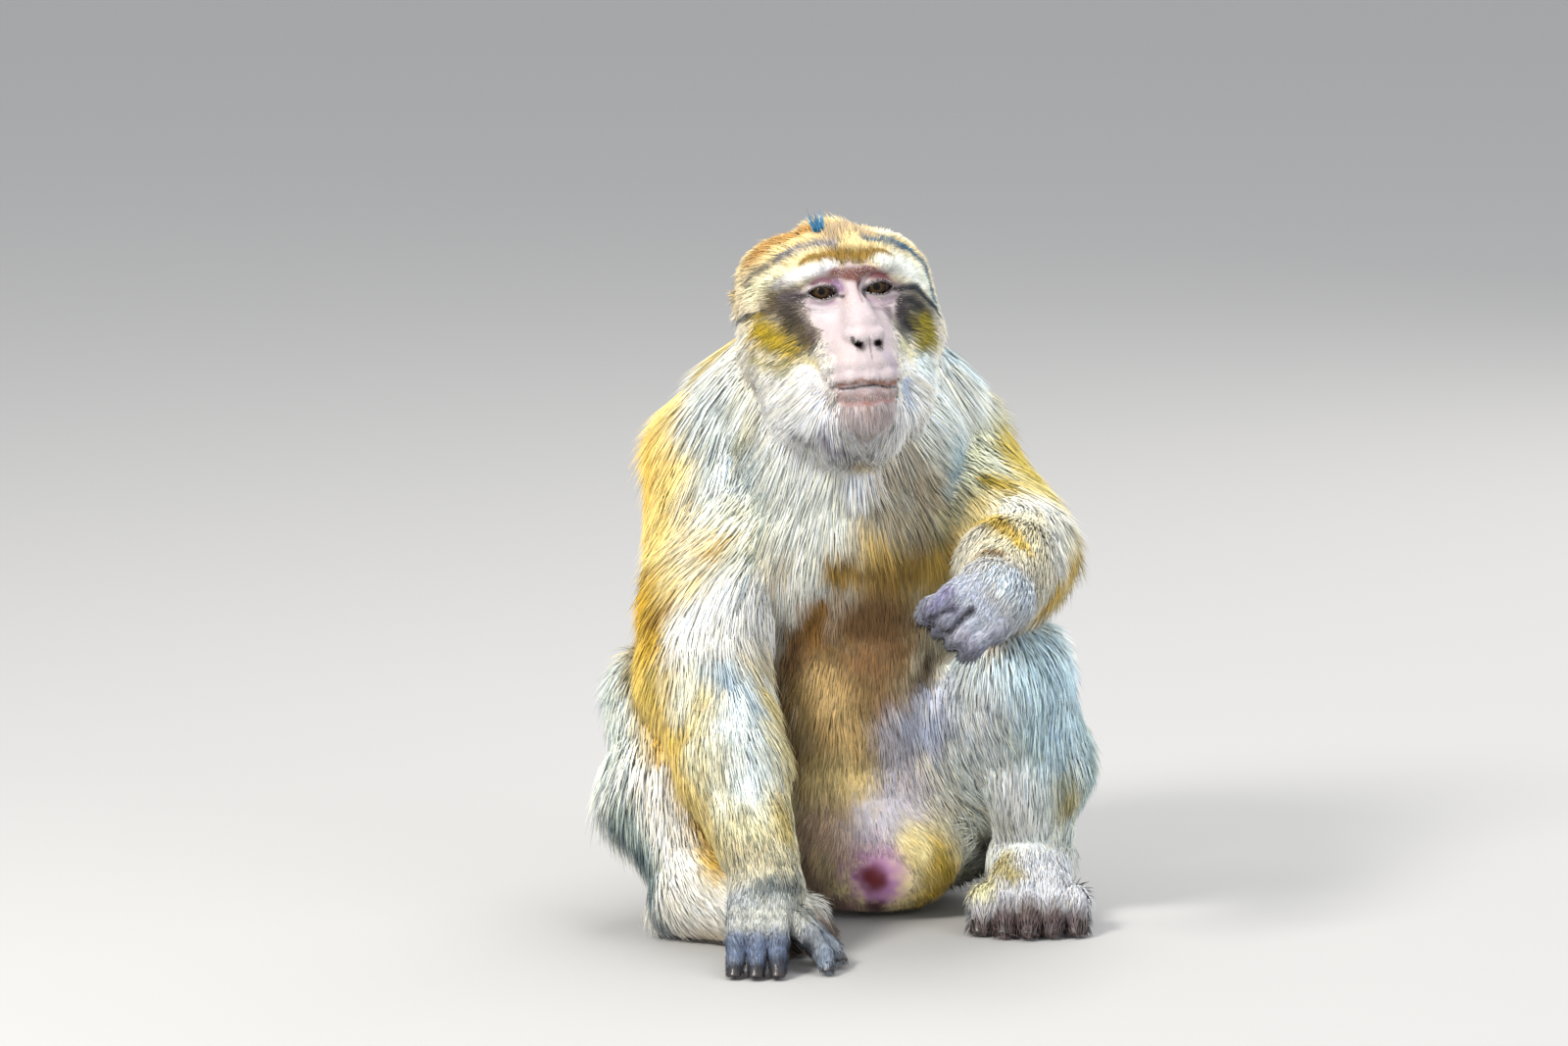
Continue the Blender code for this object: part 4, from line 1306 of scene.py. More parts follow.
@dataclass
class Markings:
    """The animal's colours: a base for each part, then the soft marks in order."""

    head: Head
    parts: "Parts"
    skin: Field

    def __post_init__(self) -> None:
        """Lays every mark on the skin."""
        self.on_head = lay(HEAD_MARKS, self.head.world, self.skin)
        self.on_face = lay(FACE_MARKS, self.head.world, self.skin)
        self.on_body = lay(BODY_MARKS, lambda places: places * MM, self.skin)

    def face(self, points: Array) -> Array:
        """How bare each point of the head is.

        Args:
            points: N x 3 world places.

        Returns:
            N numbers, 1 on the face and 0 under the coat.
        """
        p = self.head.local(points)
        rough = 2.2 * value_noise(points, 0.005, 5) + 1.2 * value_noise(points, 0.0018, 6)
        half_width = np.interp(p[:, 2], FACE_HEIGHTS, FACE_WIDTHS)
        bare = smooth_step(-4.0, 4.5, half_width - np.abs(p[:, 0]) + rough)
        bare *= smooth_step(19.0, 15.0, p[:, 2] + rough) * smooth_step(-103.0, -96.0, p[:, 2] + rough)
        return bare * smooth_step(14.0, 5.0, p[:, 1])

    def coat(self, points: Array, weights: Array, along: Array) -> tuple[Array, Array]:
        """The coat's colour at each point, and the share of dark tufts.

        Light colours of the body are raised by a power of their brightness, as long tufts shade
        each other.

        Args:
            points: N x 3 world places.
            weights: the share of each part at each point.
            along: how far along its part each point lies, one row for each part.

        Returns:
            N x 3 linear colours and N shares.
        """
        made = np.zeros((len(points), 3))
        ticks_and_shade = np.zeros(len(points))
        for i, name in enumerate(self.parts.names):
            near, far, share = BODY_BASE[name]
            mix = along[i][:, None]
            if name.startswith("foot"):
                mix = smooth_step(0.84, 1.0, mix)
            made += weights[i][:, None] * (colour(near) * (1 - mix) + colour(far) * mix)
            ticks_and_shade += weights[i] * share
        ragged = 0.30 * value_noise(points, 0.016, 21) + 0.28 * value_noise(points, 0.005, 22)
        made, ticks_and_shade = self.over(self.on_body, points, ragged, made, ticks_and_shade)
        bright = np.maximum(made.mean(axis=1, keepdims=True), 0.01)
        made = made * bright ** (-0.22 * smooth_step(0.05, 0.30, bright))
        made, ticks_and_shade = self.over(self.on_head, points, ragged * 0.7, made, ticks_and_shade)
        return np.minimum(made, 0.9), ticks_and_shade

    @staticmethod
    def over(laid: list[Laid], points: Array, ragged: Array, made: Array,
             ticks_and_shade: Array) -> tuple[Array, Array]:
        """Lays marks over colours and shares, one after the other.

        Args:
            laid: the marks.
            points: N x 3 places.
            ragged: how far the marks' edges are shifted at each.
            made: the colours so far.
            ticks_and_shade: the shares of dark tufts so far.

        Returns:
            The new colours and shares.
        """
        for item in laid:
            share = item.share(points, ragged)
            made = made + (colour(item.mark.tint) - made) * share[:, None]
            ticks_and_shade = ticks_and_shade + (item.mark.ticks_and_shade - ticks_and_shade) * share
        return made, ticks_and_shade

    def bare_skin(self, points: Array) -> Array:
        """The colours of the bare face: pink, then the marks, then the dark rims of the lids.

        Args:
            points: N x 3 world places.

        Returns:
            N x 3 linear colours.
        """
        local = self.head.local(points)
        ragged = 0.16 * value_noise(points, 0.003, 31)
        made = np.tile(colour("F3E0E2"), (len(points), 1))
        made, _ = self.over(self.on_face, points, ragged, made, np.zeros(len(points)))
        half_width, half_height = self.head.opening
        for s in (-1, 1):
            x = (local[:, 0] - s * (self.head.eye_gap / 2 + 0.3)) / (half_width + 1.0)
            z = (local[:, 2] + 0.9) / (half_height + 1.1)
            rim = (1.0 - smooth_step(0.92, 1.20, np.hypot(x, z) + ragged * 0.5)) * (local[:, 1] < 0)
            made += (colour("241519") - made) * rim[:, None] * 0.95
        return made * SKIN_TONE


# ---- the coat
@dataclass(frozen=True)
class Stroke:
    """How the coat lies at a place: which way it runs, how long it is, how far it stands out."""

    place: Point
    flow: Point
    length: float
    lift: float


# Place and direction, then length in millimetres and lift. Places are in millimetres.
StrokeRow = tuple[Triple, Triple, float, float]

HEAD_MIDDLE: tuple[StrokeRow, ...] = (
    ((0, -8, 20), (0, 0.25, 1.0), 7, 0.45), ((0, 8, 34), (0, 0.6, 0.8), 16, 0.60),
    ((0, 36, 44), (0, 1, 0.15), 22, 0.62), ((0, 90, 25), (0, 0.8, -0.6), 18, 0.35),
    ((0, 108, -15), (0, 0.2, -1), 24, 0.35), ((0, -8, -98), (0, 0.1, -1), 22, 0.34),
    ((0, 20, -105), (0, 0.1, -1), 30, 0.36), ((0, -45, -50), (0, 0.1, -1), 2, 0.15),
    ((0, -24, -84), (0, 0.0, -1), 6, 0.16),
)
HEAD_SIDES: tuple[StrokeRow, ...] = (
    ((20, -6, 19), (0.25, 0.25, 0.95), 6.5, 0.40), ((36, 2, 16), (0.7, 0.4, 0.5), 7, 0.28),
    ((28, 10, 30), (0.5, 0.7, 0.5), 12, 0.38), ((35, 40, 36), (0.35, 1, 0), 15, 0.38),
    ((52, 24, 15), (0.4, 0.85, -0.2), 14, 0.32), ((58, 45, -5), (0.2, 0.9, -0.5), 17, 0.32),
    ((42, 8, -3), (0.8, 0.6, -0.05), 8, 0.20), ((40, 6, -18), (0.75, 0.5, -0.35), 9, 0.24),
    ((46, 8, -36), (0.85, 0.4, -0.35), 15, 0.42), ((56, 22, -30), (0.6, 0.6, -0.5), 22, 0.45),
    ((58, 34, -50), (0.6, 0.45, -0.65), 30, 0.50), ((34, 0, -60), (0.75, 0.2, -0.6), 19, 0.42),
    ((40, 10, -80), (0.6, 0.2, -0.75), 30, 0.48), ((24, -6, -92), (0.4, 0.0, -0.9), 22, 0.38),
    ((27, -12, -50), (0.6, 0.5, -0.5), 6, 0.20), ((61, 55, -8), (0.1, 1, -0.2), 8, 0.15),
)
TRUNK: tuple[StrokeRow, ...] = (
    ((-14, 60, 400), (0, 0.6, -0.8), 34, 0.34), ((-90, 10, 370), (-0.6, -0.15, -0.8), 40, 0.34),
    ((-100, -20, 345), (-0.75, -0.2, -0.7), 36, 0.32), ((-62, -60, 330), (-0.7, -0.1, -0.75), 32, 0.32),
    ((-70, -75, 285), (-0.65, -0.1, -0.8), 34, 0.34), ((-85, -55, 240), (-0.6, -0.2, -0.8), 34, 0.36),
    ((-60, -80, 245), (-0.15, -0.15, -1), 30, 0.38), ((-35, -90, 330), (-0.35, -0.1, -0.95), 30, 0.32),
    ((-40, -88, 285), (-0.25, -0.05, -1), 30, 0.32), ((-8, -95, 350), (0.05, -0.1, -1), 30, 0.36),
    ((-8, -90, 295), (0.05, -0.05, -1), 26, 0.30), ((25, -85, 320), (0.6, 0, -0.7), 28, 0.30),
    ((50, -70, 330), (0.85, 0, -0.45), 30, 0.30), ((60, -60, 300), (0.75, 0, -0.65), 30, 0.32),
    ((35, -80, 280), (0.35, 0, -0.95), 24, 0.28), ((55, 10, 370), (0.6, -0.15, -0.8), 40, 0.34),
    ((70, -25, 355), (0.8, -0.15, -0.55), 34, 0.32), ((-15, 110, 330), (0, 0.3, -1), 42, 0.32),
    ((-10, 130, 220), (0, 0.1, -1), 36, 0.30), ((0, 120, 110), (0, -0.05, -1), 32, 0.30),
    ((0, 110, 50), (0, -0.3, -1), 28, 0.30), ((-100, 40, 220), (-0.1, 0.1, -1), 30, 0.28),
    ((90, 40, 220), (0.1, 0.1, -1), 30, 0.28), ((-10, -85, 250), (0, 0.1, -1), 20, 0.16),
    ((25, -80, 240), (0.1, 0.1, -1), 20, 0.16), ((-35, -75, 220), (-0.2, 0.1, -1), 20, 0.16),
    ((0, -65, 190), (0, 0.1, -1), 17, 0.11), ((0, -62, 150), (0.1, 0.1, -1), 18, 0.12),
    ((10, -60, 118), (0.15, 0, -1), 22, 0.18), ((-40, -50, 130), (-0.2, 0, -1), 20, 0.14),
    ((5, -70, 90), (0, -0.1, -1), 12, 0.10), ((12, -80, 35), (0, 0, -1), 4, 0.15),
    ((-40, -50, 60), (-0.3, 0, -1), 12, 0.14), ((60, -35, 40), (0.6, 0, -0.8), 14, 0.28),
    ((45, -55, 60), (0.6, 0, -0.8), 9, 0.2),
)
# Length in millimetres at the start and the end of the part, lift, and how far the coat falls.
LIMB_COAT: dict[str, tuple[float, float, float, float]] = {
    "upper_arm": (36, 26, 0.32, 0.35), "forearm": (21, 12, 0.28, 0.25), "hand": (10, 5, 0.26, 0.1),
    "thigh": (26, 20, 0.30, 0.5), "lower_leg": (24, 16, 0.30, 0.45), "foot": (16, 11, 0.30, 0.12),
}
# Strokes that a limb has besides those along its bone.
LIMB_EXTRA: dict[str, tuple[StrokeRow, ...]] = {
    "upper_arm_right": (
        ((-90, -70, 270), (-0.7, -0.2, -0.7), 36, 0.34), ((-80, -95, 235), (-0.55, -0.2, -0.8), 34, 0.38),
        ((-125, -60, 240), (-0.75, -0.1, -0.65), 30, 0.32), ((-150, -40, 270), (-0.15, 0, -1), 28, 0.3),
        ((-72, -95, 215), (0.15, -0.2, -1), 30, 0.42),
    ),
    "forearm_right": (
        ((-80, -110, 190), (0.45, -0.1, -0.9), 26, 0.38), ((-105, -125, 185), (-0.1, -0.2, -1), 22, 0.3),
        ((-145, -90, 180), (-0.35, 0, -0.9), 22, 0.3),
    ),
    "upper_arm_left": (
        ((90, -40, 320), (0.8, -0.3, -0.55), 30, 0.32), ((110, -50, 300), (0.75, -0.2, -0.6), 30, 0.34),
        ((80, -60, 290), (0.75, -0.1, -0.6), 28, 0.3),
    ),
    "forearm_left": (
        ((135, -80, 250), (-0.1, -0.3, -0.95), 22, 0.34), ((120, -120, 235), (0.1, -0.4, -0.9), 22, 0.34),
        ((110, -100, 290), (-0.35, -0.85, -0.25), 20, 0.28),
        ((95, -170, 285), (-0.35, -0.8, -0.45), 14, 0.28), ((110, -160, 235), (0.05, -0.5, -0.85), 16, 0.3),
    ),
    "thigh_left": (
        ((110, -100, 190), (0.45, -0.3, -0.85), 22, 0.26), ((75, -100, 170), (0.3, -0.2, -0.9), 16, 0.12),
        ((60, -85, 130), (0.3, -0.1, -0.95), 15, 0.11), ((140, -60, 190), (0.4, 0, -0.9), 26, 0.3),
    ),
    "lower_leg_right": (
        ((-165, -60, 90), (-0.15, 0.1, -1), 32, 0.34), ((-150, -60, 60), (-0.2, 0.2, -1), 30, 0.36),
    ),
}


# How softly one part gives way to the next, and the share under which a part isn't asked.
PART_BORDER = 0.006
LEAST_SHARE = 0.02


@dataclass
class Parts:
    """The body's named parts: which one a point is on, and how the coat lies there."""

    head: Head
    limbs: Limbs
    placed: list[Placed]

    def __post_init__(self) -> None:
        """Sorts the forms by part, and combs each part."""
        self.names = list(dict.fromkeys(item.part for item in self.placed))
        added = [item for item in self.placed if item.join is Join.ADD]
        self.forms = {name: [item.form for item in added if item.part == name] for name in self.names}
        self.strokes = {name: self.comb(name) for name in self.names}

    @staticmethod
    def strokes_of(rows: tuple[StrokeRow, ...], origin: Array, axes: Array) -> list[Stroke]:
        """Strokes from the rows of a table.

        Args:
            rows: the rows.
            origin: the world place of their zero.
            axes: their axes, as the columns of a matrix.

        Returns:
            A stroke for each row.
        """
        return [
            Stroke(origin + axes @ np.array(place) * MM, unit(axes @ np.array(flow)), length * MM, lift)
            for place, flow, length, lift in rows
        ]

    def comb(self, name: str) -> list[Stroke]:
        """Lays a part's strokes: from the tables, and on a limb along its bone too.

        Args:
            name: the part.

        Returns:
            Its strokes.
        """
        if name in ("head", "ear"):
            mirrored = tuple(
                ((-place[0], *place[1:]), (-flow[0], *flow[1:]), length, lift)
                for place, flow, length, lift in HEAD_SIDES
            )
            return self.strokes_of(HEAD_MIDDLE + HEAD_SIDES + mirrored, self.head.origin, self.head.axes)
        if name == "trunk":
            return self.strokes_of(TRUNK, np.zeros(3), np.eye(3))
        part, _ = name.rsplit("_", 1)
        ends = self.bone(name)
        first, last, lift, fall = LIMB_COAT[part]
        flow = unit(unit(ends[1] - ends[0]) * (1 - fall) + at(0, 0, -1) * fall)
        made = self.strokes_of(LIMB_EXTRA.get(name, ()), np.zeros(3), np.eye(3))
        for t in (0.0, 0.35, 0.7, 1.0):
            length = (first + (last - first) * t) * MM
            made.append(Stroke(ends[0] + (ends[1] - ends[0]) * t, flow, length, lift))
        return made

    def bone(self, name: str) -> tuple[Point, Point]:
        """The two ends of a part's middle line.

        Args:
            name: the part.

        Returns:
            Its start and its end.
        """
        if name in ("head", "ear"):
            return self.head.place(0, 20, 30), self.head.place(0, 20, -90)
        if name == "trunk":
            return at(-0.016, 0.02, 0.40), at(0, 0.02, 0.02)
        part, side = name.rsplit("_", 1)
        limbs = self.limbs
        if part == "hand":
            wrist = limbs.wrist[side]
            return wrist, wrist + (at(0.0, -0.075, -0.040) if side == "right" else at(-0.030, -0.045, -0.030))
        joints = {
            "upper_arm": (limbs.shoulder, limbs.elbow), "forearm": (limbs.elbow, limbs.wrist),
            "thigh": (limbs.hip, limbs.knee), "lower_leg": (limbs.knee, limbs.ankle),
            "foot": (limbs.ankle, limbs.toes),
        }
        first, second = joints[part]
        return first[side], second[side]

    def weights(self, points: Array) -> Array:
        """The share of each part at each point: greatest for the nearest, and soft at the borders.

        Args:
            points: N x 3 places.

        Returns:
            A row of N shares for each part.
        """
        gaps = []
        for name in self.names:
            gap = np.full(len(points), 1.0)
            for form in self.forms[name]:
                gap = np.minimum(gap, form.distance(points))
            gaps.append(gap)
        gaps = np.array(gaps)
        shares = np.exp(-(gaps - gaps.min(axis=0)) / PART_BORDER)
        return shares / shares.sum(axis=0)

    def along(self, points: Array) -> Array:
        """How far along each part's middle line each point lies.

        Args:
            points: N x 3 places.

        Returns:
            A row of N numbers from 0 to 1 for each part.
        """
        rows = []
        for name in self.names:
            start, end = self.bone(name)
            axis = end - start
            rows.append(np.clip((points - start) @ axis / (axis @ axis), 0.0, 1.0))
        return np.array(rows)

    def lie(self, points: Array, weights: Array) -> tuple[Array, Array, Array]:
        """The coat's direction, length and lift at each point.

        Within a part each stroke counts by one over the fourth power of its distance, and the
        parts count by their shares.

        Args:
            points: N x 3 places.
            weights: the share of each part at each point.

        Returns:
            N x 3 directions, N lengths and N lifts.
        """
        flow = np.zeros_like(points)
        length = np.zeros(len(points))
        lift = np.zeros(len(points))
        for share, name in zip(weights, self.names):
            used = share > LEAST_SHARE
            if not used.any():
                continue
            strokes = self.strokes[name]
            gap = np.array([((points[used] - s.place) ** 2).sum(axis=1) for s in strokes])
            count = 1.0 / (gap + 1e-6) ** 2
            count = count / count.sum(axis=0) * share[used]
            flow[used] += count.T @ np.array([s.flow for s in strokes])
            length[used] += count.T @ np.array([s.length for s in strokes])
            lift[used] += count.T @ np.array([s.lift for s in strokes])
        return flow, length, lift


@dataclass(frozen=True)
class Zone:
    """One piece of the coat: where it grows, how many tufts it has and how thick they are.

    lock is how wide a lock of tufts is, and clump how far its tips draw together.
    """

    name: str
    slot: str
    parts: tuple[str, ...]
    count: int
    width: float
    lock: float
    clump: float
    region: str = "all"


ZONES: tuple[Zone, ...] = (
    Zone("coat_face", "bare_skin", ("head",), 20000, 0.00019, 0.003, 0.1, "face"),
    Zone("coat_brow", "golden_coat", ("head",), 24000, 0.00030, 0.004, 0.25, "brow"),
    Zone("coat_crown", "golden_coat", ("head", "ear"), 19000, 0.00042, 0.006, 0.35, "crown"),
    Zone("coat_topknot", "dark_coat", ("head",), 260, 0.00040, 0.004, 1.6, "topknot"),
    Zone("coat_ruff", "pale_coat", ("head",), 25000, 0.00050, 0.008, 0.40, "ruff"),
    Zone("coat_mantle", "pale_coat", ("trunk",), 20000, 0.00062, 0.011, 0.42, "mantle"),
    Zone("coat_chest", "pale_coat", ("trunk",), 19000, 0.00055, 0.009, 0.40, "chest"),
    Zone("coat_belly", "golden_coat", ("trunk",), 13000, 0.00042, 0.006, 0.30, "belly"),
    Zone("coat_back", "golden_coat", ("trunk",), 18000, 0.00080, 0.011, 0.42, "back"),
    Zone("coat_arm_right", "golden_coat", ("upper_arm_right", "forearm_right"), 25000, 0.00052, 0.008, 0.38),
    Zone("coat_arm_left", "golden_coat", ("upper_arm_left", "forearm_left"), 18000, 0.00052, 0.008, 0.38),
    Zone("coat_leg_right", "pale_coat", ("thigh_right", "lower_leg_right"), 11500, 0.00062, 0.008, 0.38),
    Zone("coat_leg_left", "pale_coat", ("thigh_left", "lower_leg_left"), 16500, 0.00058, 0.008, 0.38),
    Zone("coat_hands", "dark_coat", ("hand_right", "hand_left"), 11000, 0.00034, 0.004, 0.30),
    Zone("coat_feet", "dark_coat", ("foot_right", "foot_left"), 9000, 0.00040, 0.004, 0.30),
)
# The side of a tuft's patch on the map, and the topknot's place on the head.
PATCH = 0.003
TOPKNOT = np.array([-12.0, 18.0, 41.0])
# Some tufts are guard tufts: their share of all, and their length and width beside the others'.
GUARD_SHARE, GUARD_LENGTH, GUARD_WIDTH = 0.22, 1.16, 0.7
# Where a tuft's ring is, how far its tip droops in lengths, how deep its root lies, and how low
# any of it may come.
RING_AT, DROOP, ROOT_DEPTH, LOWEST_TIP = 0.42, 0.10, 0.0010, 0.0004
# How finely the places of locks are told apart, in cells to the metre.
LOCK_CELLS = 20011.0


@dataclass(frozen=True)
class Tufts:
    """The tufts of one piece, with a row for each in every array.

    pull is how far a tip is drawn toward its lock, and half is half the width of the ring.
    """

    roots: Array
    normals: Array
    flow: Array
    length: Array
    lift: Array
    pull: Array
    half: Array

    def build(self, name: str) -> bpy.types.Object:
        """Makes the mesh.

        A tuft's middle line is the curve (1-t)^2 a + 2t(1-t) b + t^2 c: a is under the skin, b
        stands out, and c lies further over and is drawn toward its lock. It starts at a point,
        has one low three-sided ring at t = RING_AT, and closes to a point at its tip.

        Args:
            name: the object's name.

        Returns:
            The object, whose shading leans to the skin's.
        """
        roots, normals, flow, half = self.roots, self.normals, self.flow, self.half
        reach = self.length[:, None]
        start = roots - normals * ROOT_DEPTH
        bend = roots + reach * 0.5 * raised(flow, normals, self.lift * 1.7)
        tip = roots + reach * raised(flow, normals, self.lift * 0.75) + self.pull
        tip[:, 2] -= self.length * DROOP
        across = unit(np.cross(flow, normals))
        t = RING_AT
        middle = (1 - t) ** 2 * start + 2 * t * (1 - t) * bend + t * t * tip
        ring = [middle - across * half, middle + across * half, middle + normals * half * 0.9]
        vertices = np.stack([start, *ring, tip], axis=1)
        vertices[:, :, 2] = np.maximum(vertices[:, :, 2], LOWEST_TIP)
        base = (np.arange(len(roots)) * 5)[:, None]
        sides = ((1, 2), (2, 3), (3, 1))
        faces = [base + np.array([0, a, b]) for a, b in sides]
        faces += [base + np.array([b, a, 4]) for a, b in sides]
        obj = mesh_object(name, vertices.reshape(-1, 3), [np.concatenate(faces)])
        turned = [normals, unit(normals - across * 0.6), unit(normals + across * 0.6)]
        turned += [unit(normals + flow * 0.2), unit(normals + flow * 0.35)]
        shading = np.stack(turned, axis=1).reshape(-1, 3)
        obj.data.normals_split_custom_set_from_vertices(shading.astype(np.float32))
        return obj


@dataclass
class Coat:
    """Grows tufts on the skin."""

    skin: Skin
    parts: Parts
    markings: Markings

    def __post_init__(self) -> None:
        """Works out for each triangle of the skin which part it is on and how bare it is."""
        quads = self.skin.quads
        self.triangles = np.concatenate([quads[:, [0, 1, 2]], quads[:, [0, 2, 3]]])
        corners = self.skin.vertices[self.triangles]
        self.centres = corners.mean(axis=1)
        cross = np.cross(corners[:, 1] - corners[:, 0], corners[:, 2] - corners[:, 0])
        self.areas = 0.5 * np.linalg.norm(cross, axis=1)
        self.owner = self.parts.weights(self.centres).argmax(axis=0)
        self.bare = self.bareness(self.centres, unit(cross))

    def underneath(self) -> bpy.types.Object:
        """Builds the skin's mesh: the face's colours, and the coat's, darkened under long tufts as painted
        shade.

        Returns:
            The object.
        """
        points = self.skin.vertices
        obj = mesh_object("skin", points, [self.skin.quads])
        weights = self.parts.weights(points)
        tint, _ = self.markings.coat(points, weights, self.parts.along(points))
        _, length, _ = self.parts.lie(points, weights)
        # Painted shade: the skin under long tufts is darkened by up to a half.
        under = (1.0 - 0.5 * smooth_step(0.006, 0.022, length))[:, None]
        bare = self.markings.face(points)[:, None]
        paint(obj, tint * under * (1 - bare) + self.markings.bare_skin(points) * bare)
        return obj

    def bareness(self, points: Array, normals: Array) -> Array:
        """How bare the skin is: wholly on the face, the soles, the palms and the seat.

        Args:
            points: N x 3 places on the skin.
            normals: its outward directions there.

        Returns:
            N numbers from 0 to 1.
        """
        bare = self.markings.face(points)
        low = smooth_step(0.012, 0.004, points[:, 2]) * smooth_step(-0.3, -0.8, normals[:, 2])
        seat = np.linalg.norm((points - at(0.015, -0.074, 0.032)) / at(0.021, 0.03, 0.019), axis=1)
        return np.maximum(np.maximum(bare, low), smooth_step(1.15, 0.85, seat))

    def region(self, name: str, points: Array) -> Array:
        """Which points a zone's region takes in.

        Args:
            name: the region.
            points: N x 3 places.

        Returns:
            N truth values.
        """
        local = self.parts.head.local(points)
        edge = (local[:, 1] < 16) & (local[:, 2] > -30) & (local[:, 2] < 26) & (np.abs(local[:, 0]) < 54)
        low = local[:, 2] < -18 - 0.12 * np.abs(local[:, 0])
        front = points[:, 1] < 0.0
        chest = front & (points[:, 2] >= 0.235)
        belly = front & (points[:, 2] < 0.235)
        mantle = ~front & (points[:, 2] > 0.285)
        everywhere = np.ones(len(points), bool)
        return {
            "all": everywhere, "face": everywhere, "brow": edge, "crown": ~edge & ~low,
            "ruff": ~edge & low, "topknot": np.linalg.norm(local - TOPKNOT, axis=1) < 5.0,
            "mantle": mantle, "chest": chest, "belly": belly, "back": ~front & ~mantle,
        }[name]

    def roots(self, zone: Zone, random: np.random.Generator) -> tuple[Array, Array]:
        """Scatters a zone's roots evenly over its part of the skin.

        Args:
            zone: the piece of the coat.
            random: where its numbers come from.

        Returns:
            Places and outward directions.
        """
        owners = [self.parts.names.index(name) for name in zone.parts]
        chance = self.areas * np.isin(self.owner, owners) * self.region(zone.region, self.centres)
        chance = chance * (self.markings.face(self.centres) if zone.region == "face" else 1.0 - self.bare)
        total = np.cumsum(chance)
        picks = (np.arange(zone.count) + random.random(zone.count)) / zone.count * total[-1]
        chosen = self.triangles[np.searchsorted(total, picks)]
        u, v = random.random((2, zone.count))
        over = u + v > 1
        u, v = np.where(over, 1 - u, u), np.where(over, 1 - v, v)
        shares = np.stack([1 - u - v, u, v], axis=1)[:, :, None]
        places = (self.skin.vertices[chosen] * shares).sum(axis=1)
        return places, unit((self.skin.normals[chosen] * shares).sum(axis=1))

    def grow(self, zone: Zone, seed: int) -> bpy.types.Object:
        """Builds one piece of the coat.

        Args:
            zone: where it grows and how thick it is.
            seed: sets the scatter.

        Returns:
            The finished object.
        """
        random = np.random.default_rng(seed)
        count = zone.count
        roots, normals = self.roots(zone, random)
        weights = self.parts.weights(roots)
        flow, length, lift = self.parts.lie(roots, weights)
        flow = flow + noise_vectors(roots, 0.03, seed) * 0.20 + noise_vectors(roots, 0.007, seed + 3) * 0.15
        flow = unit(along_skin(flow + random.normal(0, 0.06, roots.shape), normals))
        bare = self.bareness(roots, normals)
        if zone.region == "face":
            length, lift = self.down(roots, bare, random), np.full(count, 0.14)
        elif zone.region == "topknot":
            length, lift = random.uniform(0.013, 0.021, count), np.full(count, 1.25)
        else:
            length = length * (1.0 - 0.6 * bare)
        lock = nearest_centre(roots, zone.lock, seed + 9)
        strand = nearest_centre(roots, zone.lock * 0.4, seed + 19)
        tone = lattice_hash(np.floor(lock * LOCK_CELLS).astype(np.int64), seed)
        guard = random.random(count) < GUARD_SHARE
        length = length * random.uniform(0.78, 1.10, count) * (0.88 + 0.24 * tone)
        length = length * np.where(guard, GUARD_LENGTH, 1.0)
        lift = lift * random.uniform(0.6, 1.35, count)
        pull = along_skin((lock - roots) * 0.45 + (strand - roots) * 0.9, normals)
        pull = pull * (zone.clump * random.uniform(0.5, 1.3, (count, 1)))
        half = zone.width * random.uniform(0.7, 1.3, (count, 1)) * np.where(guard, GUARD_WIDTH, 1.0)[:, None]
        obj = Tufts(roots, normals, flow, length, lift, pull, half).build(zone.name)
        gap = np.linalg.norm(roots - lock, axis=1) / zone.lock
        # A random tone for each lock; tufts toward a lock's edge are darkened by up to a fifth, painted shade
        # in the gaps between locks.
        shade = (0.84 + 0.30 * tone) * (1.0 - 0.20 * smooth_step(0.35, 0.75, gap))
        shade = shade * random.normal(1.0, 0.09, count)
        middles = roots + flow * length[:, None] * 0.55
        self.dress(obj, zone, (middles, weights, bare), shade, guard, random)
        self.unwrap(obj, zone, roots)
        return obj

    def down(self, roots: Array, bare: Array, random: np.random.Generator) -> Array:
        """The length of the face's down, longest on the chin and where the coat begins.

        Args:
            roots: N x 3 places.
            bare: how bare the skin is there.
            random: where its numbers come from.

        Returns:
            N lengths.
        """
        chin = smooth_step(-66.0, -82.0, self.parts.head.local(roots)[:, 2])
        edge = 1.0 - smooth_step(0.35, 1.0, bare)
        return (0.0020 + 0.0085 * chin + 0.0050 * edge) * random.uniform(0.6, 1.3, len(roots))

    def dress(self, obj: bpy.types.Object, zone: Zone, place: tuple[Array, Array, Array], shade: Array,
              guard: Array, random: np.random.Generator) -> None:
        """Colours each tuft from the markings at its middle, darkened at the root as painted shade and
        lighter at the tip.

        A dark tuft stands for a dark guard hair and for the shade between locks: its colour is painted shade,
        a little of its own tint turned to blue.

        Args:
            obj: the piece.
            zone: what it was grown from.
            place: the tufts' middles, their shares of the parts, and how bare the skin is there.
            shade: how light each tuft is: its lock's random tone, less painted shade toward the lock's edge,
                and a random spread.
            guard: which are guard tufts.
            random: where its numbers come from.
        """
        points, weights, bare = place
        tint, ticks_and_shade = self.markings.coat(points, weights, self.parts.along(points))
        if zone.region == "face":
            tint = self.markings.bare_skin(points)
            tint = tint + (colour("F6ECEA") * 0.75 - tint) * 0.5
            ticks_and_shade = np.full(len(points), 0.02)
        elif zone.region == "topknot":
            tint = np.tile(colour("2F6C8C"), (len(points), 1))
        else:
            tint = tint + (self.markings.bare_skin(points) - tint) * (bare * 0.5)[:, None]
        warm = random.normal(0.0, 0.04, (len(points), 1)) * np.array([1.0, 0.2, -1.4])
        tint = np.clip(tint * shade[:, None] * (1 + warm), 0.0, 1.0)
        dark = (random.random(len(points)) < ticks_and_shade * np.where(guard, 1.6, 0.85))[:, None]
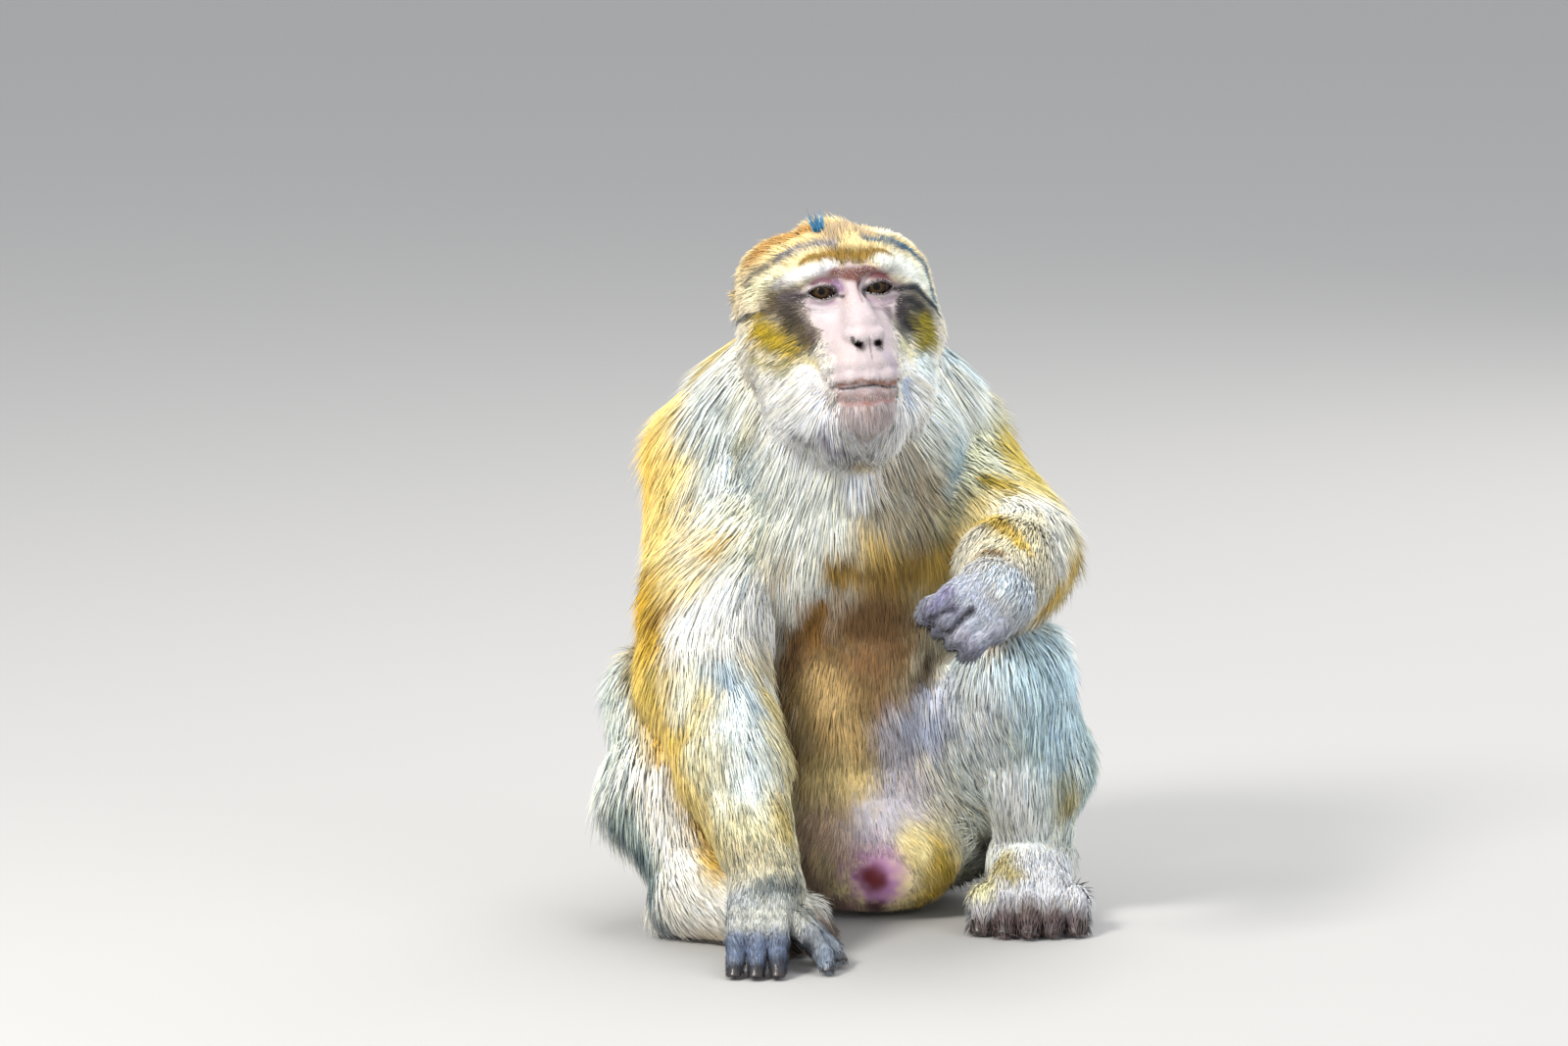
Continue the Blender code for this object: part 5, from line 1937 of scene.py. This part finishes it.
        # Painted shade: the colour of the dark tufts, their tint darkened and turned to blue.
        shadow = tint * np.array([0.30, 0.37, 0.43])
        # Painted shade at the roots: the other tufts are darkened there by a fifth.
        root = np.where(dark, shadow, tint * 0.80)
        middle = np.where(dark, tint * 0.45 + shadow * 0.55, tint)
        tip = np.where(dark, shadow, np.clip(tint * 1.10 + 0.02, 0, 1))
        paint(obj, np.stack([root, middle, middle, middle, tip], axis=1).reshape(-1, 3))

    def unwrap(self, obj: bpy.types.Object, zone: Zone, roots: Array) -> None:
        """Gives each tuft a small patch at its root's place on a rolled-out map of the skin.

        Each part has a column of the map. The angle about the part's middle line runs across the
        column and the way along the line runs up it.

        Args:
            obj: the piece.
            zone: what it was grown from.
            roots: the tufts' roots.
        """
        owner = self.parts.weights(roots).argmax(axis=0)
        column = np.zeros(len(roots))
        angle = np.zeros(len(roots))
        up = np.zeros(len(roots))
        for number, name in enumerate(zone.parts):
            chosen = owner == self.parts.names.index(name)
            start, end = self.parts.bone(name)
            axis = unit(end - start)
            side = unit(np.cross(axis, at(0.3, 1.0, 0.2)))
            local = roots[chosen] - start
            angle[chosen] = np.arctan2(local @ side, local @ np.cross(axis, side)) / (2 * math.pi) + 0.5
            up[chosen] = np.clip((local @ axis / np.linalg.norm(end - start) + 0.6) / 2.2, 0, 1)
            column[chosen] = number
        u = 0.004 + 0.988 * (column + 0.01 + 0.98 * angle) / len(zone.parts)
        v = 0.004 + 0.988 * up
        sideways, lengthways = np.array([0.5, 0.0, 1.0, 0.5, 0.5]), np.array([0.0, 0.4, 0.4, 0.4, 1.0])
        uv = np.stack([u[:, None] + PATCH * sideways, v[:, None] + PATCH * lengthways], axis=2).reshape(-1, 2)
        layer = obj.data.uv_layers.new(name="OFBake")
        corners = np.empty(len(obj.data.loops), np.int32)
        obj.data.loops.foreach_get("vertex_index", corners)
        layer.data.foreach_set("uv", uv[corners].astype(np.float32).ravel())


# ---- finishes
@dataclass(frozen=True)
class Nodes:
    """A short way to lay out a tree of shader nodes."""

    tree: bpy.types.NodeTree

    def put(self, kind: str, inputs: dict[str | int, object], **values: object) -> bpy.types.Node:
        """Adds a node.

        Args:
            kind: the node's type.
            inputs: for each input, the socket that it is linked to or its value.
            values: the node's own properties.

        Returns:
            The node.
        """
        node = self.tree.nodes.new(kind)
        for key, value in values.items():
            setattr(node, key, value)
        self.feed(node, inputs)
        return node

    def feed(self, node: bpy.types.Node, inputs: dict[str | int, object]) -> None:
        """Links or sets a node's inputs.

        Args:
            node: the node.
            inputs: for each input, the socket that it is linked to or its value.
        """
        for key, value in inputs.items():
            if isinstance(value, bpy.types.NodeSocket):
                self.tree.links.new(value, node.inputs[key])
            else:
                node.inputs[key].default_value = value


def new_material(name: str) -> tuple[bpy.types.Material, Nodes, bpy.types.Node]:
    """Makes a material with its Principled shader.

    Args:
        name: the material's name.

    Returns:
        The material, its nodes and the shader.
    """
    material = bpy.data.materials.new(name)
    material.use_nodes = True
    return material, Nodes(material.node_tree), material.node_tree.nodes["Principled BSDF"]


def mottle_group() -> bpy.types.NodeTree:
    """A group that varies a colour by two noises: broad patches and fine grain.

    The colour is multiplied by 1 + depth * (noise - 0.5) for each noise.

    Returns:
        The group. It gives the colour, and the noises' sum as a height.
    """
    group = bpy.data.node_groups.new("mottle", "ShaderNodeTree")
    sockets = (
        ("Colour", "INPUT", "Color"), ("Broad", "INPUT", "Float"), ("Fine", "INPUT", "Float"),
        ("Depth", "INPUT", "Float"), ("Colour", "OUTPUT", "Color"), ("Height", "OUTPUT", "Float"),
    )
    for name, way, kind in sockets:
        group.interface.new_socket(name=name, in_out=way, socket_type=f"NodeSocket{kind}")
    nodes = Nodes(group)
    start = nodes.put("NodeGroupInput", {}).outputs
    place = nodes.put("ShaderNodeTexCoord", {}).outputs["Object"]
    current = start["Colour"]
    heights = []
    for name in ("Broad", "Fine"):
        noise = nodes.put("ShaderNodeTexNoise", {"Detail": 3.0, "Vector": place, "Scale": start[name]})
        heights.append(noise.outputs["Fac"])
        centred = nodes.put("ShaderNodeMath", {0: heights[-1], 1: 0.5}, operation="SUBTRACT")
        terms = {0: centred.outputs[0], 1: start["Depth"], 2: 1.0}
        gain = nodes.put("ShaderNodeMath", terms, operation="MULTIPLY_ADD")
        mix = nodes.put("ShaderNodeVectorMath", {0: current, "Scale": gain.outputs[0]}, operation="SCALE")
        current = mix.outputs[0]
    total = nodes.put("ShaderNodeMath", dict(enumerate(heights)))
    nodes.put("NodeGroupOutput", {"Colour": current, "Height": total.outputs[0]})
    return group


@dataclass(frozen=True)
class Finish:
    """A finish that takes its colour from the piece's own markings.

    broad and fine are the mottle's two scales and depth is its strength.
    """

    name: str
    roughness: float
    broad: float
    fine: float
    depth: float
    bump: float = 0.0
    specular: float = 0.5
    subsurface: float = 0.0
    coat: float = 0.0

    def make(self, group: bpy.types.NodeTree) -> bpy.types.Material:
        """Builds the material.

        Args:
            group: the mottle.

        Returns:
            The material.
        """
        material, nodes, shader = new_material(self.name)
        tint = nodes.put("ShaderNodeAttribute", {}, attribute_name=PAINT)
        scales = {"Broad": self.broad, "Fine": self.fine, "Depth": self.depth}
        mottle = nodes.put("ShaderNodeGroup", {"Colour": tint.outputs["Color"], **scales}, node_tree=group)
        nodes.feed(shader, {
            "Base Color": mottle.outputs["Colour"],
            "Roughness": self.roughness,
            "Specular IOR Level": self.specular,
            "Subsurface Weight": self.subsurface,
            "Subsurface Radius": (0.006, 0.002, 0.001),
            "Subsurface Scale": 0.5,
            "Coat Weight": self.coat,
        })
        if self.bump:
            height = {"Strength": self.bump, "Distance": 0.0006, "Height": mottle.outputs["Height"]}
            nodes.feed(shader, {"Normal": nodes.put("ShaderNodeBump", height).outputs["Normal"]})
        return material


# ---- eyes and nails
@dataclass(frozen=True)
class Eye:
    """An eyeball with a raised front, a dark brown iris and a round pupil, in millimetres."""

    head: Head
    side: int
    front: float = 0.9
    front_angle: float = 0.50
    iris: float = 6.5
    pupil: float = 2.4
    rings: int = 72
    spokes: int = 96

    def build(self) -> bpy.types.Object:
        """Makes the ball: a turned profile whose radius swells by a soft bump at the front.

        The angle from the line of sight runs down the rows and the angle round it runs along
        them. Colours follow the distance from the line of sight.

        Returns:
            The finished object.
        """
        radius = self.head.eye_radius
        polar = np.linspace(0.0, math.pi, self.rings)[1:-1]
        turn = np.linspace(0.0, 2 * math.pi, self.spokes, endpoint=False)
        swell = radius + self.front * np.exp(-((polar / self.front_angle) ** 4))
        across = swell * np.sin(polar)
        ahead = swell * np.cos(polar)
        ring = np.stack([np.outer(across, np.cos(turn)), np.outer(-ahead, np.ones_like(turn)),
                         np.outer(across, np.sin(turn))], axis=2).reshape(-1, 3)
        ends = np.array([[0.0, -(radius + self.front), 0.0], [0.0, radius, 0.0]])
        points = np.concatenate([ring, ends])
        gaze = turn_matrix((2.0, 0.0, -10.0))
        offset = np.array([self.side * self.head.eye_gap / 2, 0.0, 0.0])
        world = self.head.world(points @ gaze.T + offset)
        row = np.arange(self.rings - 3)[:, None] * self.spokes
        here = row + np.arange(self.spokes)
        there = row + (np.arange(self.spokes) + 1) % self.spokes
        quads = np.stack([here, here + self.spokes, there + self.spokes, there], axis=2).reshape(-1, 4)
        first, last = len(ring), len(ring) + 1
        spoke = np.arange(self.spokes)
        following = (spoke + 1) % self.spokes
        tail = (self.rings - 3) * self.spokes
        front = np.stack([np.full_like(spoke, first), spoke, following], axis=1)
        back = np.stack([np.full_like(spoke, last), tail + following, tail + spoke], axis=1)
        name = "eyeball_left" if self.side > 0 else "eyeball_right"
        obj = mesh_object(name, world, [quads, np.concatenate([front, back])])
        paint(obj, self.tints(points))
        return obj

    def tints(self, points: Array) -> Array:
        """Colours the pupil, the iris with its spokes and dark rim, and the brown round it.

        Args:
            points: N x 3 millimetres from the ball's middle, looking along -Y.

        Returns:
            N x 3 linear colours.
        """
        away = np.hypot(points[:, 0], points[:, 2])
        angle = np.arctan2(points[:, 2], points[:, 0])
        spokes = 0.5 + 0.5 * np.sin(angle * 23 + 1.7 * np.sin(angle * 7)) * np.sin(angle * 41)
        inner, outer = colour("3A2A14"), colour("1C1208")
        mix = smooth_step(self.pupil, self.iris, away)[:, None]
        iris = (inner * (1 - mix) + outer * mix) * (0.75 + 0.5 * spokes[:, None])
        rim = smooth_step(self.iris - 1.6, self.iris - 0.2, away)[:, None]
        iris = iris * (1 - 0.8 * rim)
        white = np.tile(colour("33231F"), (len(points), 1))
        outside = smooth_step(self.iris - 0.2, self.iris + 0.5, away)[:, None]
        outside = np.maximum(outside, (points[:, 1] > 0)[:, None])
        made = iris * (1 - outside) + white * outside
        hole = smooth_step(self.pupil + 0.25, self.pupil - 0.15, away)[:, None] * (points[:, 1] < 0)[:, None]
        return made * (1 - hole) + colour("050404") * hole


@dataclass(frozen=True)
class Nails:
    """The nails of one hand or foot, as one joined mesh."""

    name: str
    digits: list[Digit]
    rows: int = 9
    columns: int = 9

    def build(self) -> bpy.types.Object:
        """Each nail is a curved shield: a grid bent round the tip's axis, with a thin under side.

        Across, the shield follows up to 138 degrees of a circle a little larger than the tip;
        along, it runs from behind the tip to past it and sinks at both ends.

        Returns:
            The finished object.
        """
        across = np.linspace(-1.0, 1.0, self.columns)
        along = np.linspace(0.0, 1.0, self.rows)
        side_way, length_way = np.meshgrid(across, along, indexing="ij")
        vertices, quads = [], []
        count = self.columns * self.rows
        for number, digit in enumerate(self.digits):
            tip, before, radius = digit.points[-1], digit.points[-2], digit.radii[-1]
            forward = unit(tip - before)
            side = unit(np.cross(forward, at(0, 0, 1)))
            up = np.cross(side, forward)
            oval = np.sqrt(np.clip(1 - (length_way * 2 - 0.9) ** 2 * 0.8, 0, 1))
            wide = 1.2 * side_way * (0.62 + 0.38 * oval)
            for layer, lift in enumerate((1.10, 0.92)):
                r = radius * (lift - 0.10 * (1 - length_way) - 0.10 * length_way * length_way)
                shape = (tip + forward * ((length_way - 0.35) * radius * 1.9)[..., None]
                         + side * (np.sin(wide) * r)[..., None] + up * (np.cos(wide) * r)[..., None])
                vertices.append(shape.reshape(-1, 3))
            base = number * 2 * count
            grid = np.arange(count).reshape(self.columns, self.rows)
            top = np.stack([grid[:-1, :-1], grid[1:, :-1], grid[1:, 1:], grid[:-1, 1:]], axis=2)
            top = top.reshape(-1, 4)
            edge = np.concatenate([grid[:-1, 0], grid[-1, :-1], grid[::-1, -1][:-1], grid[0, ::-1][:-1]])
            following = np.roll(edge, -1)
            wall = np.stack([following, edge, edge + count, following + count], axis=1)
            quads += [base + top[:, ::-1], base + count + top, base + wall[:, ::-1]]
        obj = mesh_object(self.name, np.concatenate(vertices), [np.concatenate(quads)])
        paint(obj, np.tile(colour("2C2624"), (len(obj.data.vertices), 1)))
        return obj


# ---- the room
@dataclass(frozen=True)
class Studio:
    """A pale floor, soft lights and the camera."""

    focal: float = 200.0
    sensor: float = 36.0
    elevation: float = 9.0
    distance: float = 5.926
    aim: Triple = (-0.0533, -0.10, 0.2860)

    def build(self) -> None:
        """Sets them up."""
        self.floor()
        self.light("key", (-1.7, -1.9, 2.3), 0.8, 132.0, (1.0, 0.97, 0.92))
        self.light("fill", (2.4, -2.4, 1.0), 2.2, 58.0, (0.90, 0.95, 1.0))
        self.light("top", (0.3, 0.5, 2.8), 1.6, 52.0, (1.0, 1.0, 1.0))
        self.light("rim", (1.6, 2.0, 1.4), 1.4, 28.0, (1.0, 0.98, 0.95))
        world = bpy.data.worlds.new("studio")
        world.use_nodes = True
        world.node_tree.nodes["Background"].inputs["Color"].default_value = (0.93, 0.95, 1.0, 1.0)
        world.node_tree.nodes["Background"].inputs["Strength"].default_value = 0.95
        bpy.context.scene.world = world
        bpy.context.scene.view_settings.view_transform = "Standard"
        self.camera()

    def floor(self) -> None:
        """One flat sheet under the animal."""
        reach = 60.0
        corners = np.array([[-reach, -reach, 0], [reach, -reach, 0], [reach, reach, 0], [-reach, reach, 0]])
        obj = mesh_object("floor", corners, [np.array([[0, 1, 2, 3]])])
        material, nodes, shader = new_material("floor_paint")
        nodes.feed(shader, {"Base Color": (0.36, 0.355, 0.345, 1.0), "Roughness": 0.85})
        obj.data.materials.append(material)

    def light(self, name: str, place: Triple, size: float, power: float, tint: Triple) -> None:
        """A square soft light that looks at the animal. Only the key light shows in the eyes.

        Args:
            name: the light's name.
            place: where it hangs.
            size: its side.
            power: in watts.
            tint: its colour.
        """
        data = bpy.data.lights.new(name, "AREA")
        data.size = size
        data.energy = power
        data.color = tint
        obj = new_object(name, data)
        obj.visible_glossy = name == "key"
        self.point(obj, np.array(place), np.array([0.0, -0.05, 0.25]))

    @staticmethod
    def point(obj: bpy.types.Object, place: Array, target: Array) -> None:
        """Puts a light or camera at a place, level, looking at another.

        Args:
            obj: the light or camera.
            place: where it goes.
            target: what it looks at.
        """
        away = unit(place - target)
        side = unit(np.cross(at(0, 0, 1), away))
        up = np.cross(away, side)
        matrix = np.eye(4)
        matrix[:3, 0], matrix[:3, 1], matrix[:3, 2], matrix[:3, 3] = side, up, away, place
        obj.matrix_world = matrix.T.tolist()

    def camera(self) -> None:
        """The camera looks along +Y, a little down."""
        data = bpy.data.cameras.new("camera")
        data.lens = self.focal
        data.sensor_width = self.sensor
        obj = new_object("camera", data)
        tilt = math.radians(self.elevation)
        target = np.array(self.aim)
        place = target + self.distance * at(0.0, -math.cos(tilt), math.sin(tilt))
        self.point(obj, place, target)
        bpy.context.scene.camera = obj


# ---- the whole
def head_from_frame() -> Head:
    """The head, with its origin midway between the solids' eyes."""
    middles = [np.mean(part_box(name), axis=0) for name in ("eye_left", "eye_right")]
    return Head(np.mean(middles, axis=0))


def all_forms(head: Head, limbs: Limbs) -> tuple[list[Placed], dict[str, list[Digit]]]:
    """Every form of the skin in joining order, and the digits that carry nails.

    Args:
        head: the head.
        limbs: the joints' places.

    Returns:
        The forms, and the digits of each foot and hand by name.
    """
    placed = trunk_forms()
    digits: dict[str, list[Digit]] = {}
    for side in ("right", "left"):
        elbow, wrist = limbs.elbow[side], limbs.wrist[side]
        radii = (0.044, 0.037, 0.034, 0.020) if side == "right" else (0.044, 0.031, 0.031, 0.022)
        placed += chain(f"upper_arm_{side}", [limbs.shoulder[side], elbow], [radii[0], radii[1]], 0.02)
        middle = elbow * 0.55 + wrist * 0.45
        placed += chain(f"forearm_{side}", [elbow, middle, wrist], list(radii[1:]), 0.01)
        hip, knee, ankle = limbs.hip[side], limbs.knee[side], limbs.ankle[side]
        calf = (knee + ankle) / 2 + at(0.006 if side == "left" else -0.008, 0.010, 0)
        placed += chain(f"thigh_{side}", [hip, knee], [0.061, 0.029], 0.02)
        placed += chain(f"lower_leg_{side}", [knee, calf, ankle], [0.029, 0.037, 0.022], 0.012)
        forms, digits[f"foot_{side}"] = foot(limbs, side)
        placed += forms
        forms, digits[f"hand_{side}"] = (right_hand if side == "right" else left_hand)(limbs)
        placed += forms
    placed += head.forms()
    return placed, digits


def finish_piece(obj: bpy.types.Object, material: bpy.types.Material) -> None:
    """Gives a piece its finish and its body.

    Args:
        obj: the piece.
        material: its finish.
    """
    obj.data.materials.append(material)
    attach(obj, BODY)
    LOG.info("%s: %d vertices", obj.name, len(obj.data.vertices))


def main() -> None:
    """Builds the skin, the eyes, the nails, the coat and the studio, in that order."""
    logging.basicConfig(level=logging.INFO, format="%(relativeCreated)6d ms %(message)s")
    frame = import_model()
    head = head_from_frame()
    limbs = Limbs()
    placed, digits = all_forms(head, limbs)
    skin = Skin.grown(placed, head)
    parts = Parts(head, limbs, placed)
    markings = Markings(head, parts, skin.field)
    group = mottle_group()
    skin_finish = Finish("skin", 0.52, 160, 1400, 0.14, bump=0.4, subsurface=0.05).make(group)
    coat_finish = Finish("coat", 0.60, 60, 500, 0.14, specular=0.35).make(group)
    eye_finish = Finish("wet_eye", 0.05, 300, 900, 0.12, specular=0.14, coat=0.1).make(group)
    nail_finish = Finish("nail", 0.35, 200, 1500, 0.3, bump=0.2).make(group)

    coat = Coat(skin, parts, markings)
    obj = coat.underneath()
    finish_piece(obj, skin_finish)
    flesh = [name for name in frame["nodes"] if not name.startswith("eye_")]
    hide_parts(*flesh)

    for side, node in ((1, "eye_left"), (-1, "eye_right")):
        eye = Eye(head, side).build()
        finish_piece(eye, eye_finish)
        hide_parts(node)
    for name, group_digits in digits.items():
        finish_piece(Nails(f"nails_{name}", group_digits).build(), nail_finish)
    for seed, zone in enumerate(ZONES):
        finish_piece(coat.grow(zone, 100 + 20 * seed), coat_finish)
    Studio().build()


if __name__ == "__main__":
    main()
